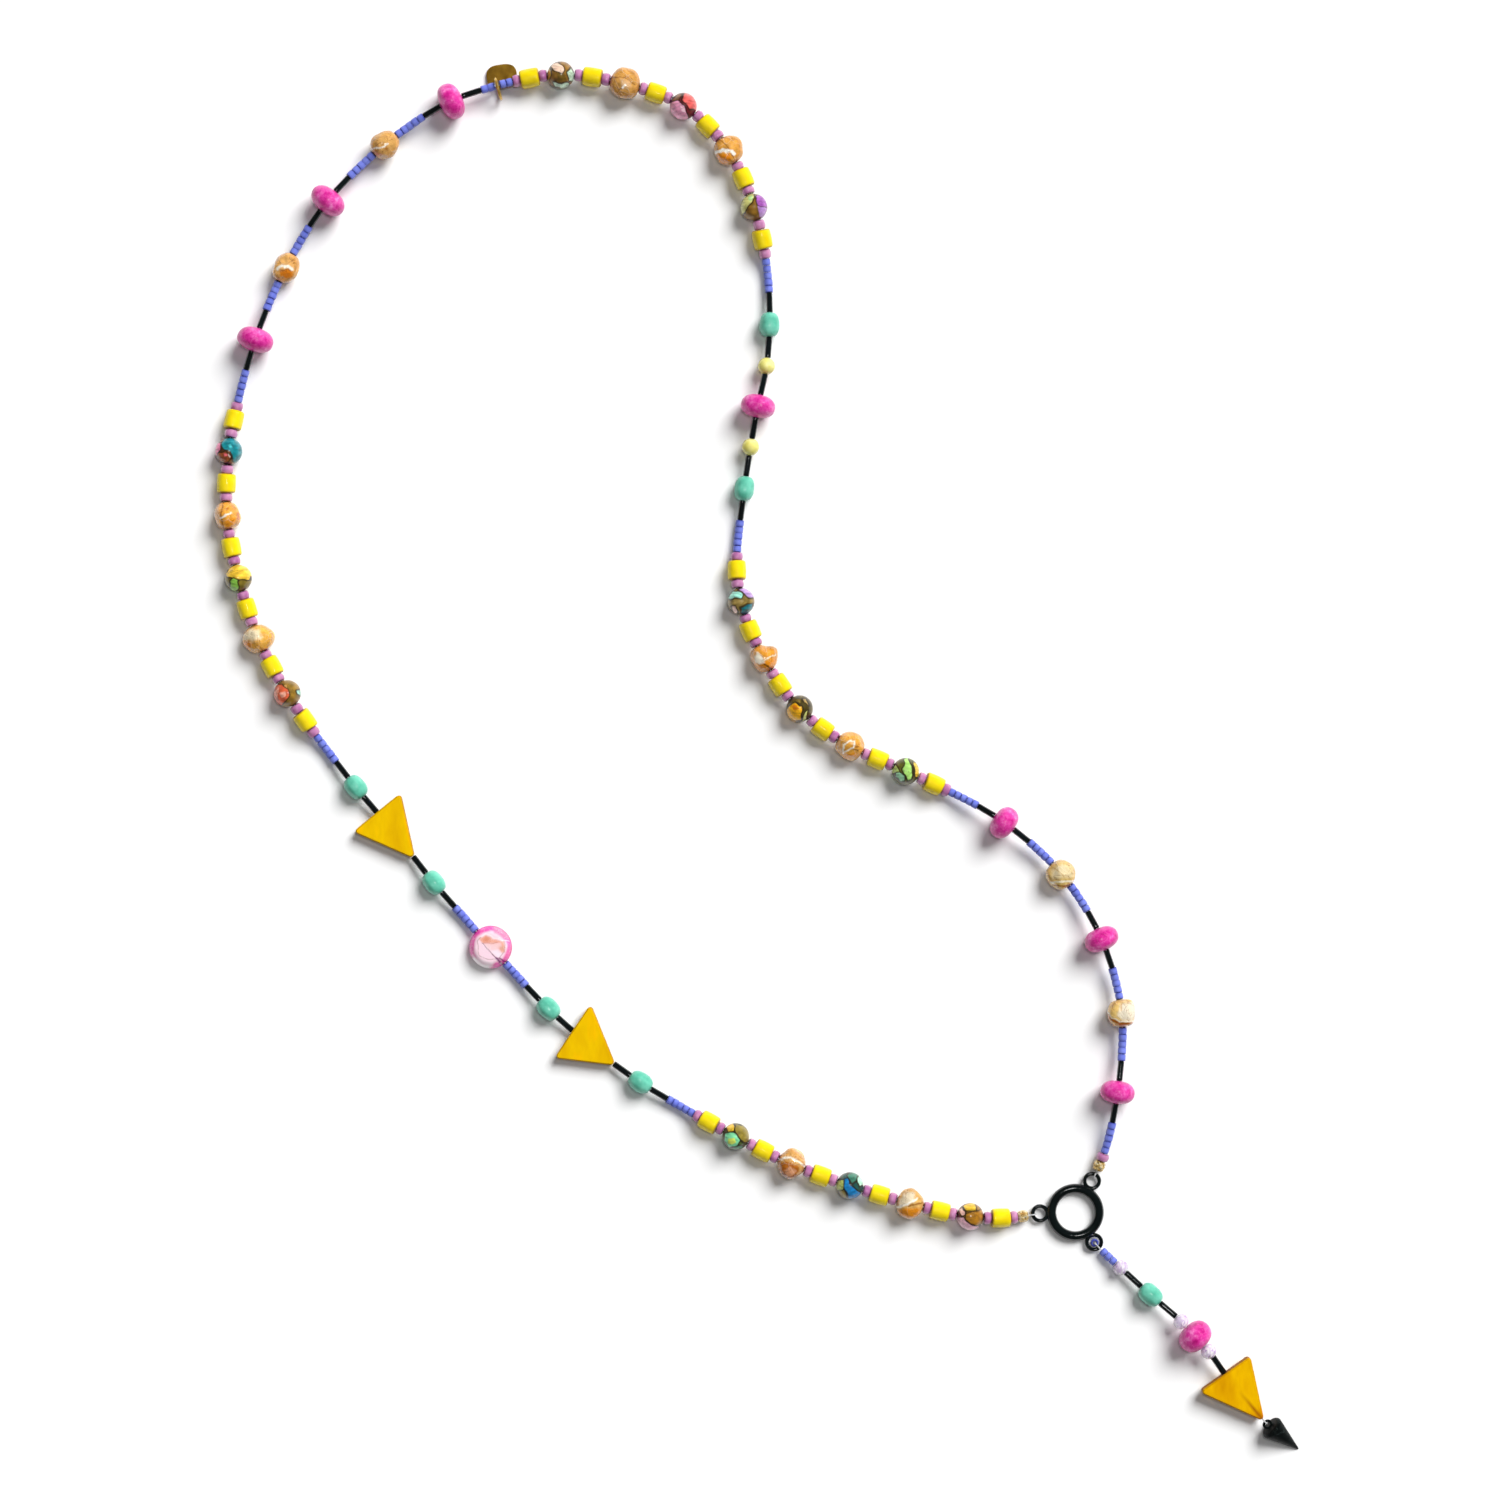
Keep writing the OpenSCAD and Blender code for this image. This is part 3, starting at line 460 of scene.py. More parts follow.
def crossings(tree, place, colour, code, sizeMm, width, strength):
    # colour under crooked hex-coloured lines, which run where a noise crosses its middle value: the
    # lines cover by strength in their middle, and not at all from width on
    noise = addNode(tree, "TexNoise", {"Vector": place, "Scale": 1 / (sizeMm * mm), "Detail": 3,
                                       "Roughness": 0.6, "Distortion": 1})
    middle = addNode(tree, "Math", {0: noise.outputs["Fac"], 1: 0.5}, operation="SUBTRACT")
    away = addNode(tree, "Math", {0: middle.outputs[0]}, operation="ABSOLUTE")
    line = addNode(tree, "MapRange", {"Value": away.outputs[0], "From Max": width, "To Min": strength,
                                      "To Max": 0.0})
    return addNode(tree, "Mix", {0: line.outputs[0], 6: colour, 7: linear(code)}, data_type="RGBA").outputs[2]


def crazing(tree, place, colour, code, sizeMm, width, strength):
    # colour under hex-coloured lines on the borders of bent cells about sizeMm across, and the lines
    # alone: they cover by strength, not at all from width on, and break off where a wider noise is low
    wide = addNode(tree, "TexNoise", {"Vector": place, "Scale": 0.6 / (sizeMm * mm), "Detail": 3})
    bend = (0.9 * sizeMm * mm,) * 3
    bent = addNode(tree, "VectorMath", {0: wide.outputs["Color"], 1: bend, 2: place},
                   operation="MULTIPLY_ADD")
    border = addNode(tree, "TexVoronoi", {"Vector": bent.outputs[0], "Scale": 1 / (sizeMm * mm)},
                     feature="DISTANCE_TO_EDGE")
    line = addNode(tree, "MapRange", {"Value": border.outputs["Distance"], "From Max": width,
                                      "To Min": strength, "To Max": 0.0})
    kept = addNode(tree, "MapRange", {"Value": wide.outputs["Fac"], "From Min": 0.4, "From Max": 0.56})
    lines = addNode(tree, "Math", {0: line.outputs[0], 1: kept.outputs[0]}, operation="MULTIPLY").outputs[0]
    return addNode(tree, "Mix", {0: lines, 6: colour, 7: linear(code)}, data_type="RGBA").outputs[2], lines


def markedPaint(xy, colour, marks, bolder=1.0):
    # each mark is a colour, half the width of a stroke or 0 for a filled patch, how soft its edge is,
    # how solid it is, and its points
    for code, half, soft, solid, corners in marks:
        d = edgeDistance(xy, corners, half == 0) - half * bolder
        cover = solid * smoothStep(0.5 - d / soft / 2)[:, None]
        colour = colour * (1 - cover) + np.array(linear(code)) * cover
    return colour


def mottled(name, stops, sizeMm, surface, relief=None):
    # a material whose colour drifts between stops in blobs of sizeMm; relief gives the size, strength
    # and depth that finish takes
    material, tree, shader, place = startMaterial(name, surface)
    colour = clouds(tree, place, stops, sizeMm)
    if relief:
        finish(tree, shader, colour, place, *relief)
    else:
        tree.links.new(colour, shader.inputs["Base Color"])
    return material


def dress(names, material):
    for name in names:
        slots = nodes[name].data.materials
        slots.clear()
        slots.append(material)


# small beads of pressed and drawn glass

def paintedGlass(name, surface, relief):
    # a material that takes its colour from the bead's own paint; relief is what finish takes
    material, tree, shader, place = startMaterial(name, surface)
    painted = addNode(tree, "Attribute", attribute_name="paint")
    finish(tree, shader, painted.outputs["Color"], place, *relief)
    return material


seedBeads = {"radius": 1.1, "varies": 0.07, "corner": 0.2, "bulge": 0.03, "sides": 16, "sideSteps": 2,
             "tones": ("#7C88DE", "#6471D0", "#303A98"), "cloud": 1.6, "seamShadeDepth": 0.3, "seed": 1,
             "standOff": 0.2, "standLength": 1.1}  # the seed that stands in the lower eyelet
lowerEyelet = np.array([*eyeletAt(2), strand["ringZ"]])
towardsDrop = dropJoints[0] - lowerEyelet
towardsDrop[2] = 0
towardsDrop /= np.linalg.norm(towardsDrop)
standingSeed = (lowerEyelet + seedBeads["standOff"] * towardsDrop, np.eye(3), seedBeads["standLength"])
# opaque matte glass: an even blue with a soft sheen and no sharp highlight, and painted deep blue shade
# at its ends where the beads meet
seedGlass = paintedGlass("matte_periwinkle_glass", {"Roughness": 0.45}, (0.3, 0.3, 0.05))
addSmallBeads("seed_beads", ["seed_strands"], seedGlass, seedBeads, beadPlaces["s"],
              [standingSeed])

rocailles = {"radius": 1.68, "varies": 0.08, "corner": 0.5, "bulge": 0.1, "sides": 24,
             "tones": ("#C98CB2", "#A8649A", "#6A2C54"), "cloud": 2, "seamShadeDepth": 0.3, "seed": 2}
# lustred glass: cloudy mauve, with painted wine coloured shade at its ends where the beads meet, and
# small sharp highlights
mauveGlass = paintedGlass(
    "lustred_mauve_glass", {"Roughness": 0.2, "Coat Weight": 0.7, "Coat Roughness": 0.06}, (0.7, 0.35, 0.12))
addSmallBeads("mauve_rocailles", ["rocailles"], mauveGlass, rocailles, beadPlaces["m"])

yellowTubes = {"radius": 2.45, "varies": 0.03, "corner": 0.55, "bulge": 0.08, "sides": 40, "sideSteps": 8,
               "slant": 0.07, "tones": ("#F2DA06", "#E4C800", "#A07000"), "cloud": 3, "seamShadeDepth": 0.4,
               "seed": 3}
# opaque glass: clean lemon yellow, with painted ochre shade at its cut ends where the beads meet
yellowGlass = paintedGlass(
    "opaque_yellow_glass", {"Roughness": 0.48, "Coat Weight": 0.25, "Coat Roughness": 0.06}, (1.1, 0.5, 0.2))
addSmallBeads("yellow_tubes", ["yellow_cylinders"], yellowGlass, yellowTubes, beadPlaces["y"])

blackTubes = {"radius": 0.82, "varies": 0.04, "corner": 0.16, "bulge": 0.0, "sides": 20, "sideSteps": 6,
              "tones": ("#0C1416", "#05090A", "#020303"), "cloud": 2, "seamShadeDepth": 0.2, "seed": 4}
# drawn black glass: long thin highlights along each tube
blackGlass = paintedGlass("drawn_black_glass", {"Roughness": 0.1, "Coat Weight": 0.5}, (0.8, 0.25, 0.06))
addSmallBeads("black_tubes", ["bugles"], blackGlass, blackTubes, beadPlaces["b"])

# cloudy pale glass: soft yellow with a milky bloom
dress(["pale_rounds"], mottled(
    "cloudy_pale_glass", [(0.3, "#D9CF60"), (0.55, "#E6DE7E"), (0.8, "#F2ECA6")], 2.2,
    {"Roughness": 0.25, "Coat Weight": 0.5, "Coat Roughness": 0.1}, (0.8, 0.3, 0.12)))
print("small beads dressed")


# metal and thread

# gilded brass, hammered: warm gold with little dents that each catch the light; the palest blobs are
# painted highlights and each dent's middle is painted shade
hammer = {"dentMm": 0.8, "depthMm": 0.35, "hollow": "#5A3C10"}
goldBrass, tree, shader, place = startMaterial("hammered_gilt_brass", {"Metallic": 0.4, "Roughness": 0.2})
# painted highlight: the palest stop of the gilt's blobs
gilt = clouds(tree, place, [(0.35, "#BC9048"), (0.5, "#EBCB84"), (0.65, "#FFF3D0")], hammer["dentMm"])
dents = addNode(tree, "TexVoronoi", {"Vector": place, "Scale": 1 / (hammer["dentMm"] * mm)})
dents = dents.outputs["Distance"]
# painted shade: each dent darkens to the hollow colour towards its middle
hollow = addNode(tree, "MapRange", {"Value": dents, "From Min": 0.12, "From Max": 0.4, "To Min": 1.0,
                                    "To Max": 0.0})
gilt = addNode(tree, "Mix", {0: hollow.outputs[0], 6: gilt, 7: linear(hammer["hollow"])}, data_type="RGBA")
raised = addNode(tree, "Bump", {"Height": dents, "Strength": 1.0, "Distance": hammer["depthMm"] * mm})
tree.links.new(gilt.outputs[2], shader.inputs["Base Color"])
tree.links.new(raised.outputs["Normal"], shader.inputs["Normal"])
dress(["end_beads"], goldBrass)

# stove enamel over cast metal: black with thin bright arcs
dress(["connector_ring"], mottled(
    "black_stove_enamel", [(0.3, "#050A0B"), (0.7, "#0B1313")], 4,
    {"Roughness": 0.12, "Specular IOR Level": 0.4, "Coat Weight": 0.4, "Coat Roughness": 0.03},
    (1.6, 0.35, 0.15)))


def spikeSurface():
    # out along the base, a quarter circle that ends on the flank of the plain cone, and that flank to
    # the tip, carried round the axis
    arc = np.radians(np.linspace(-90, 0, spikes["arcSteps"] + 1))
    rim = spikes["base"] - (spikes["round"] - spikes["edge"]) * math.tan(spikeTilt)
    r = [spikes["pole"], *(rim - spikes["round"] * (1 - np.cos(arc))), spikes["tip"], spikes["pole"]]
    z = [0, *(spikes["round"] * (1 + np.sin(arc))), spikes["length"] - spikes["edge"], spikes["length"]]
    a = np.radians(np.arange(spikes["sides"]) * 360 / spikes["sides"])[None, :]
    r, z = np.array(r)[:, None], np.array(z)[:, None]
    return np.stack([r * np.cos(a), r * np.sin(a), z + 0 * a], -1)


def torusSurface(radius, wire, rings, sides):
    # a circle of the wire's radius carried round a circle that stands on the spike's axis
    u = np.radians(np.arange(rings) * 360 / rings)[:, None]
    v = np.radians(np.arange(sides) * 360 / sides)[None, :]
    out = radius + wire * np.cos(v)
    return np.stack([wire * np.sin(v) + 0 * u, out * np.cos(u), out * np.sin(u)], -1)


# blackened brass, brushed: near black, satin, with a few fine pale scratches
spikeBlack, tree, shader, place = startMaterial(
    "blackened_brass", {"Roughness": 0.45, "Specular IOR Level": 0.15})
black = clouds(tree, place, [(0.3, "#020505"), (0.6, "#060B0B"), (0.8, "#0F1615")], 1.4)
black = crossings(tree, place, black, "#4A5654", 5, 0.006, 0.35)
brushed = addNode(tree, "Mapping", {"Vector": place, "Rotation": (0, 0, 0.9), "Scale": (1, 9, 3)})
finish(tree, shader, black, brushed.outputs[0], 2.4, 0.15, 0.1)
way = np.array([math.cos(spikeTilt) * math.cos(spikeTurn), math.cos(spikeTilt) * math.sin(spikeTurn),
                -math.sin(spikeTilt)])
left = np.array([-way[1], way[0], 0]) / math.hypot(way[0], way[1])
spikeAxes = np.array([np.cross(left, way), left, way])
restHeight = spikes["base"] * math.cos(spikeTilt) + spikes["edge"] * math.sin(spikeTilt)
spikeBase = np.array([*spikes["at"], restHeight])
eye = torusSurface(spikes["eyeRadius"], spikes["eyeWire"], spikes["eyeRings"], spikes["eyeSides"])
addPiece("black_spike", [placed(spikeSurface(), (spikeBase, spikeAxes)),
                         placed(eye, (spikeBase - spikes["eyeArm"] * way, spikeAxes))],
         ["spike"], spikeBlack, capped=1)

# antiqued brass: dark in its hollows and olive gold where it is rubbed
dress(["tag"], mottled(
    "antiqued_brass", [(0.3, "#7A5A18"), (0.5, "#9C7422"), (0.72, "#B8902E")], 2.6,
    {"Metallic": 0.5, "Roughness": 0.4}, (0.9, 0.3, 0.12)))

# polished brass wire: bright yellow gold
dress(["jump_ring"], mottled(
    "polished_brass_wire", [(0.3, "#B98F3C"), (0.7, "#E0BE6A")], 1.5, {"Metallic": 0.6, "Roughness": 0.22}))

# clear nylon thread: silvery, a quarter clear
dress(["thread", "drop_thread"], mottled(
    "clear_nylon_thread", [(0.3, "#C9CBCE"), (0.7, "#F0F1F3")], 1,
    {"Roughness": 0.25, "Transmission Weight": 0.25}))
print("metal dressed")


# turquoise barrels

barrels = {"width": 5.35, "power": 0.85, "flats": 8, "soft": 0.3, "dents": 0.14, "dentSize": 4, "sides": 64,
           "rings": 32, "fade": 1.2,  # how far out from the bore the edges and dents are full
           "colours": [(0.3, "#4FAC92"), (0.5, "#62BEA4"), (0.72, "#78CCB4")]}


def barrelSurface(length, seed):
    # a turned oval; round the thread its radius falls from each of eight edges to the flat between,
    # by the cosine of the angle from the middle of the flat, and low dents lie on top
    shape = turnedSurface(barrels["width"] / 2, length, barrels["power"], barrels["rings"], barrels["sides"])
    half = math.pi / barrels["flats"]
    a = np.arctan2(shape[..., 1], shape[..., 0])
    flat = math.cos(half) / np.cos(np.mod(a + half, 2 * half) - half)
    away = np.clip((np.hypot(shape[..., 0], shape[..., 1]) - boreRadius) / barrels["fade"], 0, 1)
    dent = barrels["dents"] * (lumps(shape, barrels["dentSize"], seed) - 1) / barrels["width"]
    shape[..., :2] *= (1 + away * (barrels["soft"] * (flat - 1) + dent))[..., None]
    return shape


# dyed stone, tumbled: satin mint with faint clouds
turquoiseStone = mottled(
    "tumbled_turquoise_stone", barrels["colours"], 2.4,
    {"Roughness": 0.36, "Coat Weight": 0.4, "Coat Roughness": 0.07}, (1.5, 0.35, 0.2))
for i, at in enumerate(beadPlaces["t"]):
    addPiece(f"turquoise_stone_{i + 1}", [placed(barrelSurface(at[2], 70 + i), at)],
             [f"turquoise_barrel_{i + 1}"], turquoiseStone)
print("turquoise made")


# pink rondelles

rondelles = {"sides": 56, "rings": 28, "power": 0.9, "dents": 0.16, "dentSize": 6.5,
             # lying down, each is wider than it is high, but at most so much wider than its solid
             "wider": (1.11, 1.12, 1.11, 1.08, 1.08, 1.08, 1.07, 1.05), "most": 1.03,
             "colours": [(0.34, "#B60A76"), (0.46, "#D42A92"), (0.56, "#E04AA6"), (0.68, "#F08AC8")]}
# dyed marble: hot pink with fine paler and deeper clouds and a few pale cracks under a soft polish
pinkStone, tree, shader, place = startMaterial(
    "dyed_pink_marble", {"Roughness": 0.34, "Coat Weight": 0.35, "Coat Roughness": 0.12})
pink = clouds(tree, place, rondelles["colours"], 2.6, detail=6, rough=0.72)
pink = crazing(tree, place, pink, "#F6B0DC", 2.8, 0.05, 0.14)[0]
finish(tree, shader, pink, place, 0.9, 0.5, 0.2, detail=4, rough=0.6)
for i, (length, diameter) in enumerate(rondelleSizes):
    shape = turnedSurface(diameter / 2, length, rondelles["power"], rondelles["rings"], rondelles["sides"])
    # low dents that fade out towards the bore
    fade = np.clip(np.hypot(shape[..., 0], shape[..., 1]) / (diameter / 2), 0, 1) ** 2
    dent = rondelles["dents"] * (lumps(shape, rondelles["dentSize"], 40 + i) - 1) * fade
    shape[..., :2] *= (1 + dent / (diameter / 2))[..., None]
    widest = rondelles["most"] * diameter / np.ptp(shape[..., 1])
    shape[..., 1] *= 1 + (min(rondelles["wider"][i], widest) - 1) * fade
    addPiece(f"pink_stone_{i + 1}", [placed(shape, beadPlaces["p"][i])], [f"pink_rondelle_{i + 1}"],
             pinkStone)
print("pink stones made")


# lavender crystals

crystals = {"radius": 2.05, "sides": 12, "stations": (-90, -62, -36, -12, 12, 36, 62, 90), "facets": 2.6,
            "colours": [(0.34, "#CDB0DE"), (0.46, "#EDDDF6"), (0.56, "#FFFCFF")]}


def crystalSurface(length):
    # rings on a round profile, every other one turned by half a side, so that flat facets lie between
    t = np.radians(np.array(crystals["stations"]))[:, None]
    odd = (np.arange(len(t)) % 2)[:, None]
    a = np.radians((np.arange(crystals["sides"])[None, :] + odd / 2) * 360 / crystals["sides"])
    r = boreRadius + (crystals["radius"] - boreRadius) * np.clip(np.cos(t), 0, 1)
    return np.stack([r * np.cos(a), r * np.sin(a), length / 2 * np.sin(t) + 0 * a], -1)


# cut crystal: clear and pale lilac; a noise read at the facet's direction makes facets white and lilac
# by turns, and the white facets are painted glints
lilacCrystal, tree, shader = startMaterial(
    "cut_lilac_crystal", {"Roughness": 0.04, "IOR": 1.52, "Transmission Weight": 0.3})[:3]
facing = addNode(tree, "NewGeometry").outputs["True Normal"]
facetGlint = addNode(tree, "TexNoise", {"Vector": facing, "Scale": crystals["facets"], "Detail": 2})
lilac = addNode(tree, "ValToRGB", {0: facetGlint.outputs["Fac"]}, crystals["colours"])
tree.links.new(lilac.outputs["Color"], shader.inputs["Base Color"])
addPiece("cut_crystals", [placed(crystalSurface(at[2]), at) for at in beadPlaces["x"]], ["drop_crystals"],
         lilacCrystal, smooth=False)


# mosaic beads: shell pieces set in resin, painted on dense balls

mosaics = {"sides": 112, "rings": 72, "edge": 0.04, "line": 0.035, "lineColour": "#241A0C", "warp": 0.09,
           "lineShare": 0.85, "cloud": 0.35, "streak": 0.32}  # how full a line is, how far tones drift
# each bead: colour of the resin, then the pieces of shell with their corners as they lie seen from
# above, in bead radii to the right and up, and how dark the line round a piece is where it isn't full
mosaicPieces = [
    ("#8A6420", [
        ("#D8AE2C", [(-.45, .75), (-.13, .98), (.41, .97), (.45, .6), (.02, .56), (-.3, .6)]),
        ("#F6C2B6", [(-.85, .5), (-.6, .66), (-.4, .56), (-.45, .29), (-.68, .17)]),
        ("#C2185B", [(-1.05, .08), (-.72, .1), (-.76, -.08), (-1.05, -.1)]),
        ("#F2BACB", [(-1.1, -.1), (-.6, .05), (-.37, -.3), (.1, -.57), (.6, -.69), (.75, -.6), (.49, -1),
                     (-.05, -1.1), (-.7, -.9)]),
        ("#9C6A1A", [(-.37, .29), (.1, .48), (.92, .52), (1.05, -.02), (.53, -.55), (.02, -.47),
                     (-.41, -.14)])]),
    ("#1E4A44", [
        ("#1A7CBC", [(-.41, .52), (-.17, .56), (.26, -.1), (.88, -.57), (.8, -.95), (.02, -1), (-.29, -.34),
                     (-.52, .29)]),
        ("#3A7560", [(-.17, .88), (.22, 1.1), (.61, .85), (.57, .45), (.22, .29), (-.05, .52)]),
        ("#A8DCC0", [(.65, .8), (1, .4), (1, .05), (.75, 0), (.57, .29)]),
        ("#B6C46A", [(-1.1, .13), (-.85, .4), (-.48, .45), (-.52, -.02), (-.72, -.41), (-1.1, -.22)]),
        ("#8A7A34", [(-.85, -.41), (-.48, -.18), (-.29, -.9), (-.52, -.95)])]),
    ("#4A5A2A", [
        ("#7ED8A0", [(-.76, .29), (-.41, .37), (-.02, .29), (.38, -.18), (.02, -.61), (-.52, -.69),
                     (-.85, -.22)]),
        ("#D0E060", [(-.52, -.06), (-.17, 0), (-.02, -.3), (-.29, -.49), (-.56, -.41)], 0),
        ("#D8B02A", [(-.7, .68), (-.29, 1), (-.05, .72), (-.13, .48), (-.52, .45)]),
        ("#8A7A30", [(-.02, .9), (.57, .9), (1.1, .05), (.85, -.49), (.41, -.1), (.02, .37)]),
        ("#2E7A50", [(-.29, -.8), (.26, -.57), (.57, -.57), (.5, -1)])]),
    ("#8A6A24", [
        ("#D8603C", [(-.85, .52), (-.37, .68), (.1, .29), (.22, -.18), (.02, -.57), (-.37, -.85), (-.8, -.7),
                     (-1.1, -.1)]),
        ("#EE9478", [(-.98, .05), (-.6, .45), (-.52, .05), (-.68, -.49)], .2),
        ("#F2A890", [(-.45, .05), (-.13, .13), (-.05, -.18), (-.29, -.3)], .1),
        ("#C89858", [(-.17, .6), (.1, .64), (.14, .37)], .2),
        ("#9ED0BC", [(.77, .21), (1.1, .2), (1.1, -.2), (.8, -.1)])]),
    ("#7A6A24", [
        ("#EFC23A", [(-.95, .37), (-.6, .8), (-.05, 1.05), (.7, .9), (1.05, .37), (.9, -.1), (.41, -.14),
                     (-.21, -.1), (-.76, .17)]),
        ("#C09A2C", [(-.5, .4), (0, .58), (.38, .62), (.36, .54), (0, .48), (-.48, .32)], .1),
        ("#8CC84C", [(-.56, -.22), (-.21, -.1), (.18, -.18), (.14, -.65), (-.17, -1.05), (-.55, -.85)])]),
    ("#7A4A24", [
        ("#14808A", [(-.25, .95), (.26, 1.05), (.85, .85), (1.1, .05), (1, -.57), (.49, -1.05), (.38, -.49),
                     (.22, -.1), (-.29, .09), (-.45, .45)]),
        ("#3AAFB4", [(.05, .45), (.3, .5), (.45, .2), (.2, .15)], .1),
        ("#F07CA8", [(-1.1, .13), (-.8, .75), (-.48, .6), (-.52, .05), (-.8, -.34), (-1.1, -.22)]),
        ("#A05028", [(-.7, -.22), (-.21, -.1), (.22, -.49), (.3, -.65), (-.13, -.9), (-.6, -.73)]),
        ("#E86870", [(-.35, -.18), (-.05, -.3), (.02, -.45), (-.3, -.38)], .3),
        ("#F4D8D0", [(.05, -.3), (.25, -.5), (.2, -.62), (.08, -.48)], .2)]),
    ("#8A6428", [
        ("#F0CDB4", [(-.64, .6), (-.21, .84), (.1, .6), (.22, .21), (.14, -.1), (-.29, .13), (-.56, .29)]),
        ("#E0AC24", [(-1.1, 0), (-1.05, .5), (-.8, .52), (-.72, -.02), (-.85, -.41), (-1.1, -.35)]),
        ("#BCD8BC", [(-.52, -.65), (-.29, -.61), (.1, -.8), (.65, -.73), (.65, -1), (.1, -1.1), (-.4, -1)]),
        ("#B4CDB4", [(.53, .13), (.78, .42), (1.05, .05), (.95, -.41), (.65, -.57)]),
        ("#6E5418", [(-.35, -.05), (.35, -.2), (.42, -.62), (-.05, -.6)], .2)]),
    ("#6A1C2A", [
        ("#D85C58", [(.06, .9), (.41, 1.1), (.85, .7), (1.1, -.02), (.9, -.38), (.41, -.22), (.02, .29),
                     (-.05, .68)]),
        ("#EFA0C0", [(-1.1, .05), (-.8, .33), (-.29, .29), (.06, -.18), (.22, -.57), (.41, -.85), (.1, -1.05),
                     (-.4, -1), (-.95, -.6)]),
        ("#F6C8D4", [(-.2, -.1), (.05, -.25), (.2, -.6), (-.02, -.55)], 0),
        ("#7A5034", [(-.9, .45), (-.45, .95), (-.17, .9), (-.29, .37), (-.7, .35)])]),
    ("#8A6420", [
        ("#CBC878", [(-1.1, -.1), (-.8, .65), (-.35, 1.05), (.1, 1.1), (.02, .6), (-.45, .05), (-.64, -.49),
                     (-.95, -.45)]),
        ("#A8CC88", [(-.4, .75), (-.1, .85), (-.05, .55), (-.35, .3)], 0),
        ("#9A50A8", [(.14, .84), (.45, 1.1), (.85, .65), (1.1, -.02), (.7, -.1), (.26, .13)]),
        ("#B284C8", [(.26, .05), (.7, -.12), (1, -.15), (.85, -.65), (.49, -.9), (.36, -.49)], .3),
        ("#7A7038", [(.05, 1.1), (.12, .7), (.4, 1.05)])]),
    ("#8A7438", [
        ("#98DCC8", [(-.95, .29), (-.65, .75), (-.21, .75), (.1, .45), (-.02, .21), (-.6, .17)]),
        ("#B08CC8", [(-.17, .9), (.34, 1.05), (.9, .65), (1.05, .17), (.65, .29), (.18, .56)]),
        ("#14707C", [(.02, -.45), (.53, -.22), (.95, -.18), (.85, -.65), (.41, -1.05), (.02, -.85)]),
        ("#EEC8BC", [(-.72, -.45), (-.37, -.45), (-.25, -.77), (-.5, -.85)]),
        ("#A0884A", [(-.95, .05), (-.2, .1), (.3, .05), (.1, -.2), (-.7, -.25)], .1)]),
    ("#4A4018", [
        ("#EFB014", [(-.95, -.22), (-.8, .21), (-.29, .33), (.14, .13), (.18, -.3), (.06, -.85), (-.45, -1.05),
                     (-.9, -.8)]),
        ("#C87410", [(-.62, .16), (-.2, .2), (0, -.02), (-.5, -.1)], 0),
        ("#C8CC78", [(.14, -.95), (.53, -.22), (.65, -.14), (.63, -.45), (.45, -.8)]),
        ("#B89A58", [(.2, .76), (.5, .68), (.62, .3), (.38, .44)]),
        ("#77632A", [(-.3, .62), (.1, .7), (.15, .4), (-.2, .42)], .2)]),
    ("#5A5A20", [
        ("#A8DC70", [(-.13, .88), (.14, 1.05), (.41, .45), (.49, -.18), (.38, -.6), (.14, -.66), (-.13, -.18),
                     (-.25, .29)]),
        ("#C4E07A", [(-1.05, .05), (-.76, .5), (-.52, .13), (-.4, -.15), (-.8, -.15)]),
        ("#A2DCB0", [(-.85, -.18), (-.4, -.15), (-.17, -.41), (-.13, -.65), (-.45, -.66), (-.85, -.4)]),
        ("#D8B428", [(.57, .72), (.85, .6), (1.1, .05), (.9, -.4), (.65, -.41), (.61, .13)])]),
]


def paintMosaic(points, middle, number):
    # each piece of shell covers its corners' outline, and a thin dark line of resin runs round it
    resin, shells = mosaicPieces[number]
    local = (points / mm - middle) / (strand["mosaicBead"] / 2)
    xy = local[:, :2] + mosaics["warp"] * twoLumps(local, 0.9, 90 + number)
    colour = np.tile(np.array(linear(resin)), (len(xy), 1))
    colour[:, :3] *= (1 + mosaics["cloud"] * lumps(local, 0.5, 170 + number))[:, None]
    dark = np.array(linear(mosaics["lineColour"]))
    for k, (code, corners, *faint) in enumerate(shells):
        d = edgeDistance(xy, corners, True)
        rim = smoothStep((mosaics["line"] + mosaics["edge"] - np.abs(d - mosaics["edge"])) / mosaics["edge"])
        rim = (rim * mosaics["lineShare"] * (faint[0] if faint else 1))[:, None]
        cover = smoothStep(0.5 - d / mosaics["edge"])[:, None]
        streaks = mosaics["streak"] * lumps(local * np.array([1, 2.5, 1]), 0.6, 200 + 10 * number + k)
        fill = np.array(linear(code)) * (1 + streaks)[:, None]
        colour = colour * (1 - cover) + fill * cover
        colour = colour * (1 - rim) + dark * rim
    colour[:, 3] = 1
    return np.clip(colour, 0, 1)


# shell in cast resin, polished: a clear coat over the painted pieces and a few dark hair cracks
shellMosaic, tree, shader, place = startMaterial(
    "shell_mosaic_in_resin", {"Roughness": 0.35, "Coat Weight": 0.6, "Coat Roughness": 0.04})
painted = addNode(tree, "Attribute", attribute_name="paint").outputs["Color"]
cracked = crossings(tree, place, painted, "#3A2A18", 3.2, 0.014, 0.5)
finish(tree, shader, cracked, place, 1.2, 0.3, 0.15)
poleTurn = math.asin(boreRadius / (strand["mosaicBead"] / 2))
turn = np.linspace(-math.pi / 2 + poleTurn, math.pi / 2 - poleTurn, mosaics["rings"] + 1)[:, None]
spin = np.radians(np.arange(mosaics["sides"]) * 360 / mosaics["sides"])[None, :]
